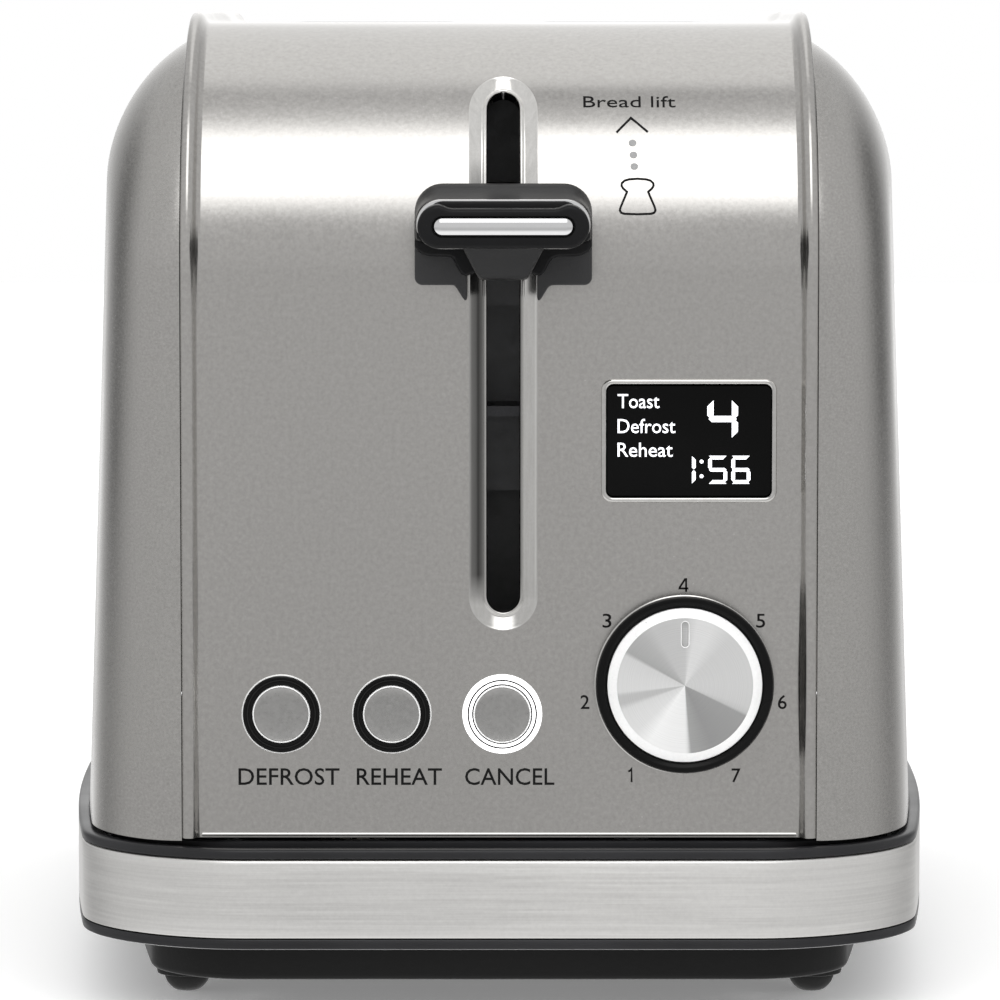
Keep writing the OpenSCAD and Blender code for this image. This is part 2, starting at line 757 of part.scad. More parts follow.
// Crumb tray, which slides out at the back
tray_z = floor_z + 0.4;
tray_y0 = chamber_y0 + 2;
module crumb_tray() color(steel) placed() {
    difference() {
        box([-tray_hw, tray_y0, tray_z], [tray_hw, plan_hy, tray_z + 6]);
        box([-tray_hw + 0.8, tray_y0 + 0.8, tray_z + 0.8],
            [tray_hw - 0.8, plan_hy - 0.8, tray_z + 7]);
    }
}

module crumb_tray_handle() color(black) placed() {
    box([-tray_hw - 3, plan_hy + 0.1, floor_z], [tray_hw + 3, plan_hy + 1.6, 27]);
    along_x(60) translate([plan_hy + 1.5, 19]) square([tray_grip - 1.5, 1.6]);
    box([-40, plan_hy, tray_z + 1], [40, plan_hy + 0.1, tray_z + 5]);
}

module cord_gland() color(black) placed() {
    difference() {
        union() {
            pin_y(gland_x, gland_z, panel_y, panel_y + 1.6, gland_bore + 4);
            pin_y(gland_x, gland_z, panel_y - 8, panel_y + 1.6, gland_bore + 2);
        }
        pin_y(gland_x, gland_z, panel_y - 9, panel_y + 3, gland_bore);
    }
}

centre_wrap();
side_shell_left();
side_shell_right();
base_band();
base_tub();
base_floor();
base_pan();
rubber_feet();
base_screws();
slot_bezel();
control_frame();
lever_handle();
lever_insert();
lever_carriage();
bread_rack_left();
bread_rack_right();
armature_plate();
guide_rods();
rod_bracket();
lift_spring();
magnet_core();
magnet_coil();
mains_switch();
guide_cage_left_outer();
guide_cage_left_inner();
guide_cage_right_inner();
guide_cage_right_outer();
heater_board_left_outer();
heater_board_left_inner();
heater_board_right_inner();
heater_board_right_outer();
heater_wires();
chassis_front();
chassis_rear();
heat_shield_left();
heat_shield_right();
slot_liner_left();
slot_liner_right();
display_bezel();
display_window();
display_module();
control_board();
encoder();
knob_cap();
knob_ring();
knob_shaft();
defrost_cap();
reheat_cap();
cancel_cap();
defrost_ring();
reheat_ring();
cancel_ring();
button_board();
power_board();
crumb_tray();
crumb_tray_handle();
cord_gland();
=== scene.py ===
"""Looks of a two-slice pop-up toaster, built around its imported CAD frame."""
import json
import math
import bmesh
import bpy
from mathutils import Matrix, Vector


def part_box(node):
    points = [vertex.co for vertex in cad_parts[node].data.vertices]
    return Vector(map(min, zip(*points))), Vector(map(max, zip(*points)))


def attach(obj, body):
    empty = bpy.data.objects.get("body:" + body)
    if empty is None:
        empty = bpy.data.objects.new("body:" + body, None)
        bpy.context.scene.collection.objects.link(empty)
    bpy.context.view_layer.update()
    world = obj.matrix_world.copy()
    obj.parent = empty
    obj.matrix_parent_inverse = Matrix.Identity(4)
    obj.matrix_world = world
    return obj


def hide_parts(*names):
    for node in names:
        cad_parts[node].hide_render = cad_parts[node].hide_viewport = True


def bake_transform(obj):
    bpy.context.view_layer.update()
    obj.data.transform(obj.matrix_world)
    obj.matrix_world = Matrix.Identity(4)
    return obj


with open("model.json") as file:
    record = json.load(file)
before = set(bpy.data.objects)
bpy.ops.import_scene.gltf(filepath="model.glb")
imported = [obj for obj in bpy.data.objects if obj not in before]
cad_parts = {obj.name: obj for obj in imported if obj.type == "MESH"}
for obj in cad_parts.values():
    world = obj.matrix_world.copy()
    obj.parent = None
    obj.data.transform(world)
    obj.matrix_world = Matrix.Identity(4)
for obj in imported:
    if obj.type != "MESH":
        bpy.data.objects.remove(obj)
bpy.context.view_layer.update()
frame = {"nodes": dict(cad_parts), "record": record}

MM = 0.001


# ---------------------------------------------------------------- driving places
def node_box(name):
    """Lowest and highest corners of a CAD node, in millimetres."""
    low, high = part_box(name)
    return Vector(low) / MM, Vector(high) / MM


wrap_low, wrap_high = node_box("centre_wrap")
band_low, band_high = node_box("base_band")

MID_Y = (band_low.y + band_high.y) / 2
HALF_W = band_high.x
HALF_L = (band_high.y - band_low.y) / 2
PLAN_BOW = 9.7
PLAN_R = 30
BEAD_RISE = 2.1
BEAD_W = 3.0
WRAP_HW = wrap_high.x
WRAP_Z0 = wrap_low.z
TOP_Z = wrap_high.z - BEAD_RISE
WRAP_R = 48.0
PANEL_Y = HALF_L - 6
ARC_Y = PANEL_Y - WRAP_R
ARC_Z = TOP_Z - WRAP_R
SHEET_T = 0.8


# ---------------------------------------------------------------- mesh helpers
CORNERS = ((1, 1, 0), (-1, 1, 90), (-1, -1, 180), (1, -1, 270))


def new_object(name, data):
    made = bpy.data.objects.new(name, data)
    bpy.context.scene.collection.objects.link(made)
    return made


def new_mesh(name, verts, faces, merge=False):
    """Mesh from points in millimetres about the base's middle, its faces turned outwards."""
    mesh = bpy.data.meshes.new(name)
    mesh.from_pydata([(x * MM, (y + MID_Y) * MM, z * MM) for x, y, z in verts], [], faces)
    bm = bmesh.new()
    bm.from_mesh(mesh)
    if merge:
        bmesh.ops.remove_doubles(bm, verts=bm.verts, dist=1e-6)
    bmesh.ops.recalc_face_normals(bm, faces=bm.faces)
    bm.to_mesh(mesh)
    bm.free()
    return mesh


def new_piece(name, verts, faces, material, body, replaced=(), angle=35):
    mesh = new_mesh(name, verts, faces, merge=True)
    mesh.polygons.foreach_set("use_smooth", [True] * len(mesh.polygons))
    mesh.set_sharp_from_angle(angle=math.radians(angle))
    mesh.materials.append(material)
    piece = new_object(name, mesh)
    if body:
        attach(piece, body)
    if replaced:
        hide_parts(*replaced)
    return piece


def bridge(rings, closed_v):
    """Quads between rings of equal length, as indices into the rings laid end to end."""
    n = len(rings[0])
    faces = []
    for v in range(len(rings) if closed_v else len(rings) - 1):
        w = (v + 1) % len(rings)
        faces += [(v * n + u, v * n + (u + 1) % n, w * n + (u + 1) % n, w * n + u)
            for u in range(n)]
    return faces


def loft(name, rings, material, body, replaced=(), cap=True, angle=35, closed_v=False):
    """Skin over rings of points; it may be capped at both ends, or closed into a loop."""
    verts = [p for ring in rings for p in ring]
    faces = bridge(rings, closed_v)
    n = len(rings[0])
    if cap:
        faces += [tuple(range(n)), tuple(range(len(verts) - n, len(verts)))]
    return new_piece(name, verts, faces, material, body, replaced, angle)


def arc(cx, cy, r, a0, a1, n):
    """Points of an arc, angles in degrees."""
    turns = [math.radians(a0 + (a1 - a0) * i / n) for i in range(n + 1)]
    return [(cx + r * math.cos(turn), cy + r * math.sin(turn)) for turn in turns]


def circle(cx, cz, r, n=64):
    return [(cx + r * math.cos(2 * math.pi * i / n), cz + r * math.sin(2 * math.pi * i / n))
        for i in range(n)]


def at_depths(shapes):
    """Rings from (y, outline) pairs, each outline of (x, z) points standing at its depth."""
    return [[(x, y, z) for x, z in outline] for y, outline in shapes]


def smoothstep(t):
    t = min(max(t, 0.0), 1.0)
    return t * t * (3 - 2 * t)


def spin_y(name, profile, at, material, body, replaced=(), n=96, angle=50):
    """Turned piece about an axis along Y through a point: profile is (radius, y past it)."""
    x, y0, z = at
    verts, faces, last = [], [], None
    for r, y in profile:
        if r == 0:
            ring = [len(verts)]
            verts.append((x, y0 + y, z))
        else:
            ring = list(range(len(verts), len(verts) + n))
            verts += [(cx, y0 + y, cz) for cx, cz in circle(x, z, r, n)]
        if last is not None:
            for i in range(n):
                j = (i + 1) % n
                if len(last) == 1:
                    faces.append((last[0], ring[i], ring[j]))
                elif len(ring) == 1:
                    faces.append((last[i], last[j], ring[0]))
                else:
                    faces.append((last[i], last[j], ring[j], ring[i]))
        last = ring
    return new_piece(name, verts, faces, material, body, replaced, angle)


def bevel(piece, width, segments=3, angle=30):
    """Rounds the edges of a piece by a real bevel, width in millimetres."""
    mod = piece.modifiers.new("edge_round", "BEVEL")
    mod.width = width * MM
    mod.segments = segments
    mod.limit_method = "ANGLE"
    mod.angle_limit = math.radians(angle)
    mod.harden_normals = True


# ---------------------------------------------------------------- material helpers
class Nodes:
    """Small helper that builds a node tree from nested calls."""

    def __init__(self, material):
        self.tree = material.node_tree
        self.nodes = self.tree.nodes
        self.bsdf = self.nodes.get("Principled BSDF")

    def add(self, kind, inputs=None, **settings):
        node = self.nodes.new(kind)
        for key, value in settings.items():
            setattr(node, key, value)
        for key, value in (inputs or {}).items():
            self.put(node.inputs[key], value)
        return node

    def put(self, socket, value):
        if isinstance(value, bpy.types.NodeSocket):
            self.tree.links.new(value, socket)
        else:
            socket.default_value = value

    def feed(self, name, value):
        """Sets or links an input of the surface shader."""
        self.put(self.bsdf.inputs[name], value)

    def where(self, kind="Object"):
        return self.add("ShaderNodeTexCoord").outputs[kind]

    def split(self, vector):
        return self.add("ShaderNodeSeparateXYZ", {"Vector": vector}).outputs

    def coords(self, scale=(1, 1, 1)):
        node = self.add("ShaderNodeMapping", {"Vector": self.where(), "Scale": scale})
        return node.outputs["Vector"]

    def noise(self, vector, scale, detail=4.0, rough=0.55):
        return self.add("ShaderNodeTexNoise", {"Vector": vector, "Scale": scale, "Detail": detail,
            "Roughness": rough}).outputs["Fac"]

    def ramp(self, value, low, high, to_low=0.0, to_high=1.0):
        return self.add("ShaderNodeMapRange", {"Value": value, "From Min": low, "From Max": high,
            "To Min": to_low, "To Max": to_high}).outputs["Result"]

    def math(self, operation, a, b=0.0, c=0.0):
        node = self.add("ShaderNodeMath", operation=operation)
        for socket, value in zip(node.inputs, (a, b, c)):
            self.put(socket, value)
        return node.outputs[0]

    def between(self, low, high, factor):
        """Level from low to high by a factor."""
        return self.math("ADD", low, self.math("MULTIPLY", self.math("SUBTRACT", high, low),
            factor))

    def tint(self, factor, dark, light):
        node = self.add("ShaderNodeMix", data_type="RGBA")
        self.put(node.inputs[0], factor)
        self.put(node.inputs[6], (*dark, 1))
        self.put(node.inputs[7], (*light, 1))
        return node.outputs[2]

    def ramp_of(self, value, stops):
        """Level along a value from 0 to 1, from (place, level) stops."""
        peak = max(level for _, level in stops)
        ramp = self.nodes.new("ShaderNodeValToRGB")
        self.tree.links.new(value, ramp.inputs[0])
        keys = ramp.color_ramp.elements
        while len(keys) > 1:
            keys.remove(keys[-1])
        for i, (place, level) in enumerate(stops):
            key = keys[0] if i == 0 else keys.new(place)
            key.position = place
            key.color = (level / peak, level / peak, level / peak, 1)
        return self.math("MULTIPLY", ramp.outputs[0], peak)

    def scaled(self, colour, factor):
        node = self.add("ShaderNodeVectorMath", operation="SCALE")
        self.tree.links.new(colour, node.inputs[0])
        self.put(node.inputs["Scale"], factor)
        return node.outputs[0]

    def bump(self, height, strength, distance):
        return self.add("ShaderNodeBump", {"Height": height, "Strength": strength,
            "Distance": distance}).outputs["Normal"]


def new_material(name, **fixed):
    material = bpy.data.materials.new(name)
    material.use_nodes = True
    build = Nodes(material)
    for key, value in fixed.items():
        build.bsdf.inputs[key.replace("_", " ")].default_value = value
    return material, build


def brushed_metal(name, dark, light, stretch, rough, grain=900.0, depth=0.012, smudge=0.06):
    """Steel sheet with fine grain drawn out along one axis, and faint handling marks."""
    material, b = new_material(name, Metallic=1.0)
    lines = b.noise(b.coords(stretch), grain, 3.0, 0.6)
    fine = b.noise(b.coords(), grain * 2.2, 2.0, 0.6)
    cloud = b.noise(b.coords(), 11.0, 4.0, 0.5)
    both = b.math("ADD", b.math("MULTIPLY", lines, 0.7), b.math("MULTIPLY", fine, 0.3))
    b.feed("Base Color", b.tint(b.ramp(both, 0.3, 0.7), dark, light))
    marks = b.ramp(cloud, 0.35, 0.65, -smudge, smudge)
    streak = b.ramp(both, 0.3, 0.7, rough * 0.85, rough * 1.15)
    b.feed("Roughness", b.math("ADD", streak, marks))
    b.feed("Normal", b.bump(both, depth, 0.0004))
    return material


def moulded_plastic(name, dark, light, rough, grain=1400.0, depth=0.05, **fixed):
    """Moulded plastic or rubber with a fine spark-eroded grain."""
    material, b = new_material(name, **{"Specular_IOR_Level": 0.3, **fixed})
    fine = b.noise(b.coords(), grain, 2.0, 0.6)
    cloud = b.noise(b.coords(), 30.0, 3.0, 0.5)
    b.feed("Base Color", b.tint(b.ramp(cloud, 0.3, 0.7), dark, light))
    b.feed("Roughness", b.ramp(cloud, 0.3, 0.7, rough - 0.05, rough + 0.05))
    b.feed("Normal", b.bump(fine, depth, 0.0004))
    return material


# ---------------------------------------------------------------- materials
def grey(level):
    return (level, level, level)


EVEN = (1, 1, 1)
WARM_DARK, WARM_LIGHT = (0.50, 0.487, 0.468), (0.60, 0.586, 0.565)
BRIGHT_DARK, BRIGHT_LIGHT = (0.62, 0.61, 0.59), (0.72, 0.71, 0.69)
wrap_steel = brushed_metal("wrap_steel", WARM_DARK, WARM_LIGHT, EVEN, 0.19, 1100, 0.015)
shell_steel = brushed_metal("shell_steel", (0.47, 0.458, 0.44), WARM_LIGHT, (3, 0.05, 3), 0.24, 700,
    0.05)
band_steel = brushed_metal("band_steel", (0.80, 0.79, 0.77), (0.92, 0.91, 0.89), (0.05, 0.05, 3),
    0.42, 700, 0.05)
plain_steel = brushed_metal("plain_steel", grey(0.45), grey(0.55), (1, 0.1, 1), 0.35, 500, 0.04)
zinc_steel = brushed_metal("zinc_steel", (0.20, 0.20, 0.205), (0.28, 0.28, 0.285), EVEN, 0.5, 300,
    0.05)
bright_steel = brushed_metal("bright_steel", BRIGHT_DARK, BRIGHT_LIGHT, EVEN, 0.13, 900, 0.01,
    smudge=0.02)
chrome = brushed_metal("chrome", (0.86, 0.86, 0.87), grey(0.9), EVEN, 0.05, 900, 0.004, smudge=0.01)
# bare cut metal edges, near-white and partly diffuse: real bright edges plus a painted highlight
# that stays bright from any side
cut_edge_painted_highlight = brushed_metal("cut_edge_painted_highlight", (0.90, 0.90, 0.895), (0.97, 0.97, 0.965), EVEN, 0.3, 1500,
    0.01, smudge=0.02)
Nodes(cut_edge_painted_highlight).feed("Metallic", 0.3)
button_satin = brushed_metal("button_satin", (0.42, 0.415, 0.405), (0.50, 0.495, 0.485), EVEN, 0.30,
    1300, 0.05)
dark_iron = brushed_metal("dark_iron", (0.16, 0.16, 0.17), (0.26, 0.26, 0.27), EVEN, 0.5)
copper = brushed_metal("copper_wire", (0.45, 0.2, 0.09), (0.6, 0.3, 0.14), (1, 1, 60), 0.35)
base_plastic = moulded_plastic("base_plastic", (0.012, 0.012, 0.013), (0.020, 0.020, 0.022), 0.34)
handle_plastic = moulded_plastic("handle_plastic", (0.005, 0.005, 0.0055), (0.009, 0.009, 0.0095),
    0.36, 1500, 0.10, Specular_IOR_Level=0.17)
knob_plastic = moulded_plastic("knob_plastic", (0.008, 0.008, 0.009), (0.014, 0.014, 0.015), 0.25)
inner_plastic = moulded_plastic("inner_plastic", grey(0.006), grey(0.012), 0.55)
pan_plastic = moulded_plastic("pan_plastic", grey(0.003), grey(0.006), 0.5, 900, 0.1)
skirt_plastic = moulded_plastic("skirt_plastic", grey(0.003), grey(0.006), 0.25,
    Specular_IOR_Level=0.12)
# lighter copy of the lever's black plastic for its wings: painted light on faces that catch the
# lamp
wing_painted_light_plastic = moulded_plastic("wing_painted_light_plastic", (0.026, 0.026, 0.027), (0.040, 0.040, 0.041), 0.42,
    1500, 0.12)
tongue_plastic = moulded_plastic("tongue_plastic", (0.012, 0.012, 0.0125), (0.020, 0.020, 0.0205),
    0.42, 1500, 0.12)
foot_rubber = moulded_plastic("foot_rubber", grey(0.012), grey(0.022), 0.6, 900, 0.15)
switch_plastic = moulded_plastic("switch_plastic", (0.62, 0.58, 0.5), (0.7, 0.67, 0.6), 0.5)
circuit_green = moulded_plastic("circuit_green", (0.01, 0.09, 0.035), (0.02, 0.15, 0.06), 0.35)
mica = moulded_plastic("mica", (0.42, 0.36, 0.26), (0.58, 0.52, 0.40), 0.42, 500, 0.2)
print_ink = moulded_plastic("print_ink", grey(0.006), grey(0.012), 0.55, Specular_IOR_Level=0.05)
print_grey = moulded_plastic("print_grey", grey(0.30), grey(0.34), 0.5)
glass_black = moulded_plastic("glass_black", grey(0.001), grey(0.003), 0.10, 400, 0.0,
    Specular_IOR_Level=0.1)


def glowing(name, colour, strength):
    """Lit plastic or a lit display segment, a little uneven as light guides are."""
    material, b = new_material(name, Roughness=0.4, Emission_Strength=strength)
    cloud = b.ramp(b.noise(b.coords(), 300.0), 0.3, 0.7, 0.0, 1.0)
    shade = b.tint(cloud, tuple(c * 0.93 for c in colour), colour)
    b.feed("Base Color", shade)
    b.feed("Emission Color", shade)
    return material


segment_light = glowing("segment_light", (0.95, 0.96, 1.0), 0.8)
ring_light = glowing("ring_light", (1.0, 1.0, 1.0), 1.25)


# painted reflection: sheen of the spun face by turn clockwise from the bottom, as (turn / 360,
# level)
SPUN_PAINTED_SHEEN = [(0.0, 0.98), (0.09, 1.0), (0.13, 0.8), (0.19, 0.72), (0.205, 0.52), (0.225, 0.52),
    (0.235, 0.70), (0.325, 0.68), (0.335, 0.42), (0.39, 0.50), (0.42, 0.60), (0.50, 0.64),
    (0.53, 0.82), (0.57, 0.80), (0.62, 0.66), (0.80, 0.62), (0.818, 0.56), (0.824, 0.36),
    (0.93, 0.34), (0.985, 0.42), (0.994, 0.9), (1.0, 0.98)]


def spun_face_material(centre):
    """Aluminium turned on a lathe: fine rings about the axis, with a painted radial sheen of bright
    and dark sectors multiplied into its half-metallic colour.
    """
    material, b = new_material("spun_aluminium", Metallic=0.5, Anisotropic=0.8, Roughness=0.38)
    local = b.add("ShaderNodeMapping", {"Vector": b.where(),
        "Location": [-c for c in centre]}).outputs["Vector"]
    x, _, z = b.split(local)
    radius = b.math("SQRT", b.math("ADD", b.math("MULTIPLY", x, x), b.math("MULTIPLY", z, z)))
    rings = b.noise(b.add("ShaderNodeCombineXYZ", {"X": radius}).outputs[0], 5200.0, 2.0, 0.7)
    shade = b.tint(b.ramp(rings, 0.3, 0.7), (0.86, 0.86, 0.855), (1.0, 1.0, 0.995))
    # painted reflection: bright and dark sectors round the face, standing in for the light that the
    # fine rings catch
    turn = b.math("ADD", b.math("DIVIDE", b.math("ARCTAN2", x, z), 2 * math.pi), 0.5)
    painted_sheen = b.ramp_of(turn, SPUN_PAINTED_SHEEN)
    b.feed("Base Color", b.scaled(shade, painted_sheen))
    b.feed("Normal", b.bump(rings, 0.06, 0.0003))
    tangent = b.add("ShaderNodeCombineXYZ", {"X": b.math("MULTIPLY", z, -1.0), "Z": x}).outputs[0]
    b.feed("Tangent", b.add("ShaderNodeVectorMath", {0: tangent}, operation="NORMALIZE").outputs[0])
    return material


def paint_reflection_across(material, stops, x0, x1, fades):
    """Paints reflection into a metal's colour along X from x0 to x1 (mm), only between heights
    where it fades in, and a painted highlight above them.
    """
    b = Nodes(material)
    colour = b.bsdf.inputs["Base Color"]
    plain = colour.links[0].from_socket
    x, _, z = b.split(b.where())
    reflection_tone = b.ramp_of(b.ramp(x, x0 * MM, x1 * MM), stops)
    (low0, low1), (high0, high1) = fades
    within = b.math("MULTIPLY", b.ramp(z, low0 * MM, low1 * MM),
        b.ramp(z, high0 * MM, high1 * MM, 1.0, 0.0))
    # painted highlight: the colour brightens 1.4 times above the upper fade
    above = b.ramp(z, high0 * MM, high1 * MM, 1.0, 1.4)
    b.put(colour, b.scaled(plain, b.math("MULTIPLY", b.between(1.0, reflection_tone, within), above)))


# painted reflection on the slot rim's flanks, darker and lighter from left to right, as (place,
# level)
FLANK_PAINTED_REFLECTION = [(0.0, 0.9), (0.036, 0.7), (0.064, 0.36), (0.121, 0.25), (0.15, 0.11), (0.179, 0.19),
    (0.207, 0.28), (0.232, 0.5), (0.257, 0.95), (0.272, 0.9), (0.30, 0.6), (0.70, 0.2),
    (0.729, 0.25), (0.757, 0.65), (0.786, 1.05), (0.929, 1.05), (0.95, 1.25), (0.971, 0.85),
    (1.0, 0.9)]
# slot rim steel with painted reflection across its flanks and a painted highlight at its top
rim_steel_painted = brushed_metal("rim_steel_painted", BRIGHT_DARK, BRIGHT_LIGHT, (1, 1, 0.1), 0.13, 900, 0.01,
    smudge=0.02)
paint_reflection_across(rim_steel_painted, FLANK_PAINTED_REFLECTION, -6.2, 7.8, ((81, 87), (158, 168)))

SLOT_MATERIAL = {"wrap_steel": bright_steel, "shell_steel": shell_steel, "band_steel": band_steel,
    "tray_steel": plain_steel, "base_plastic": base_plastic, "inner_plastic": inner_plastic,
    "handle_plastic": handle_plastic, "knob_plastic": knob_plastic, "foot_rubber": foot_rubber,
    "screw_steel": plain_steel, "insert_chrome": chrome, "zinc_steel": zinc_steel,
    "wire_chrome": bright_steel, "iron": dark_iron, "spring_steel": dark_iron,
    "copper_coil": copper, "switch_plastic": switch_plastic, "heater_alloy": copper,
    "shield_aluminium": plain_steel, "display_glass": glass_black, "circuit_board": circuit_green,
    "spun_aluminium": bright_steel, "button_satin": button_satin, "lit_ring": ring_light,
    "mica": mica,}
for part in frame["record"]["subparts"]:
    cad_object = frame["nodes"][part["node"]]
    cad_object.data.materials.clear()
    cad_object.data.materials.append(SLOT_MATERIAL[part["material_slot"]])


# ---------------------------------------------------------------- centre wrap
LEVER_X = 0.8
SLOT_Z0, SLOT_Z1 = 79.8, 181.3
RIM_HALF = 6.7
RIM_Z0, RIM_Z1 = SLOT_Z0 - 3.6, SLOT_Z1 + 2.2


def wrap_point(x, z, inset=0.0):
    """Point on the front half of the wrap at a height, set in along the surface's normal."""
    if z <= ARC_Z:
        return (x, -PANEL_Y + inset, z)
    a = math.asin(min((z - ARC_Z) / WRAP_R, 1.0))
    r = WRAP_R - inset
    return (x, -ARC_Y - r * math.cos(a), ARC_Z + r * math.sin(a))


def wrap_path(inset, n=64):
    """Side outline of the wrap, (y, z) from the front hem over the top to the back hem."""
    r = WRAP_R - inset
    front = [(-PANEL_Y + inset, z) for z in (WRAP_Z0, WRAP_Z0 + 3, 60, 100)]
    over = arc(-ARC_Y, ARC_Z, r, 180, 90, n) + arc(ARC_Y, ARC_Z, r, 90, 0, n)
    back = [(-y, z) for y, z in reversed(front)]
    return front + over + back


def wrap_normal(y, z):
    """Outward normal of the wrap in Y and Z."""
    if z <= ARC_Z:
        return (math.copysign(1, y), 0.0)
    if abs(y) <= ARC_Y:
        return (0.0, 1.0)
    dy, dz = y - math.copysign(ARC_Y, y), z - ARC_Z
    size = math.hypot(dy, dz)
    return (dy / size, dz / size)


def stadium(z0, z1, half, n=24, m=40):
    """Closed outline (x, z) of an upright slot about the lever's middle line."""
    top = [(half * math.cos(math.pi * i / n), z1 - half + half * math.sin(math.pi * i / n))
        for i in range(n + 1)]
    left = [(-half, z1 - half - (z1 - z0 - 2 * half) * i / m) for i in range(1, m)]
    bottom = [(-half * math.cos(math.pi * i / n), z0 + half - half * math.sin(math.pi * i / n))
        for i in range(n + 1)]
    right = [(half, z0 + half + (z1 - z0 - 2 * half) * i / m) for i in range(1, m)]
    return [(LEVER_X + x, z) for x, z in top + left + bottom + right]


def rounded_rect(cx, cz, w, h, r, n=8):
    """Closed outline (x, z) of a rectangle with round corners."""
    points = []
    for sx, sz, a in CORNERS:
        points += arc(cx + sx * (w / 2 - r), cz + sz * (h / 2 - r), r, a, a + 90, n)
    return points


def cutter(outline, y0, y1):
    """Temporary prism through an outline in X and Z, from y0 to y1."""
    n = len(outline)
    verts = [(x, y, z) for y in (y0, y1) for x, z in outline]
    faces = [(i, (i + 1) % n, n + (i + 1) % n, n + i) for i in range(n)]
    faces += [tuple(range(n)), tuple(range(n, 2 * n))]
    return new_object("cutter", new_mesh("cutter", verts, faces))


def slab_cutter(x0, x1, y0, y1, z0, z1):
    return cutter([(x0, z0), (x1, z0), (x1, z1), (x0, z1)], y0, y1)


def cut(piece, tools, angle=None):
    """Takes the tools' volumes out of a piece for good and, given an angle, marks its sharp edges
    again.
    """
    for tool in tools:
        mod = piece.modifiers.new("cut", "BOOLEAN")
        mod.operation = "DIFFERENCE"
        mod.solver = "EXACT"
        mod.object = tool
    graph = bpy.context.evaluated_depsgraph_get()
    done = bpy.data.meshes.new_from_object(piece.evaluated_get(graph))
    piece.modifiers.clear()
    old = piece.data
    piece.data = done
    done.name = piece.name
    bpy.data.meshes.remove(old)
    for tool in tools:
        mesh = tool.data
        bpy.data.objects.remove(tool)
        bpy.data.meshes.remove(mesh)
    if angle:
        done.set_sharp_from_angle(angle=math.radians(angle))


def face_of(name):
    """Middle (x, z), width and height of a CAD node as seen from the front."""
    low, high = node_box(name)
    return (low.x + high.x) / 2, (low.z + high.z) / 2, high.x - low.x, high.z - low.z


DISPLAY_X, DISPLAY_Z, BEZEL_W, BEZEL_H = face_of("display_bezel")
KNOB_X, KNOB_Z, cap_width, _ = face_of("knob_cap")
CAP_R, RING_R = cap_width / 2, face_of("knob_ring")[2] / 2
BUTTONS = {}
for label in ("defrost", "reheat", "cancel"):
    x, z, width, _ = face_of(label + "_cap")
    BUTTONS[label] = (x, z, width / 2)
GLAND_X, GLAND_Z, _, _ = face_of("cord_gland")
liner_low, liner_high = node_box("slot_liner_right")
SLOT_X = (liner_low.x + liner_high.x) / 2
SLOT_W = liner_high.x - liner_low.x - 2 * SHEET_T
SLOT_Y0 = liner_low.y + SHEET_T - MID_Y
SLOT_Y1 = liner_high.y - SHEET_T - MID_Y


def build_wrap():
    outer, inner = wrap_path(0), wrap_path(SHEET_T)
    section = outer + inner[::-1]
    rings = [[(x, y, z) for y, z in section] for x in (-WRAP_HW, WRAP_HW)]
    piece = loft("wrap_sheet", rings, wrap_steel, "housing", ("centre_wrap",))
    holes = [rounded_rect(DISPLAY_X, DISPLAY_Z, BEZEL_W - 0.4, BEZEL_H - 0.4, 2.0)]
    holes += [circle(x, z, 7.0) for x, z, _ in BUTTONS.values()]
    holes.append(circle(KNOB_X, KNOB_Z, 4.0))
    tools = [cutter(stadium(RIM_Z0, RIM_Z1, RIM_HALF), -PANEL_Y - 5, -ARC_Y)]
    tools += [cutter(hole, -PANEL_Y - 5, -PANEL_Y + 5) for hole in holes]
    tools.append(cutter(circle(GLAND_X, GLAND_Z, 5.7), PANEL_Y - 5, PANEL_Y + 5))
    for x in (-SLOT_X, SLOT_X):
        tools.append(slab_cutter(x - SLOT_W / 2, x + SLOT_W / 2, SLOT_Y0, SLOT_Y1, TOP_Z - 9, TOP_Z
            + 9))
    cut(piece, tools)
    set_wrap_normals(piece)


def set_wrap_normals(piece):
    """Exact normals on the sheet's two faces, so that the cuts leave no shading marks."""
    mesh = piece.data
    mesh.polygons.foreach_set("use_smooth", [True] * len(mesh.polygons))
    normals = []
    for polygon in mesh.polygons:
        for index in polygon.vertices:
            spot = mesh.vertices[index].co / MM
            ny, nz = wrap_normal(spot.y - MID_Y, spot.z)
            exact = Vector((0, ny, nz))
            side = polygon.normal.dot(exact)
            if abs(side) > 0.9 and abs(polygon.normal.x) < 0.1:
                normals.append(exact if side > 0 else -exact)
            else:
                normals.append(polygon.normal.copy())
    mesh.normals_split_custom_set(normals)


build_wrap()


def build_bead(side):
    """Raised half-round bead along one edge of the wrap."""
    path = wrap_path(0, 48)
    section = [(1.5, -0.3), (1.5, 0.8), (1.42, 1.25), (1.2, 1.65), (0.85, 1.92), (0.4, 2.07),
        (0.0, BEAD_RISE), (-0.4, 1.95), (-0.8, 1.6), (-1.15, 1.12), (-1.45, 0.66), (-1.75, 0.32),
        (-2.05, 0.12), (-2.4, 0.01), (-2.4, -0.3)]
    centre = side * (WRAP_HW - BEAD_W / 2)
    rings = []
    for y, z in path:
        ny, nz = wrap_normal(y, z)
        rings.append([(centre + side * u, y + v * ny, z + v * nz) for u, v in section])
    loft("wrap_bead_" + ("right" if side > 0 else "left"), rings, wrap_steel, "housing",
        angle=40)


for side in (-1, 1):
    build_bead(side)


def build_hem():
    """Rolled hem along the bottom edge of the front and back panels."""
    for sign, end in ((-1, "front"), (1, "back")):
        curl = arc(sign * (PANEL_Y - 0.55), WRAP_Z0 + 0.5, 0.65, 0, 345, 23)
        rings = [[(x, y, z) for y, z in curl] for x in (-WRAP_HW, WRAP_HW)]
        loft("wrap_hem_" + end, rings, bright_steel, "housing", angle=50)


build_hem()


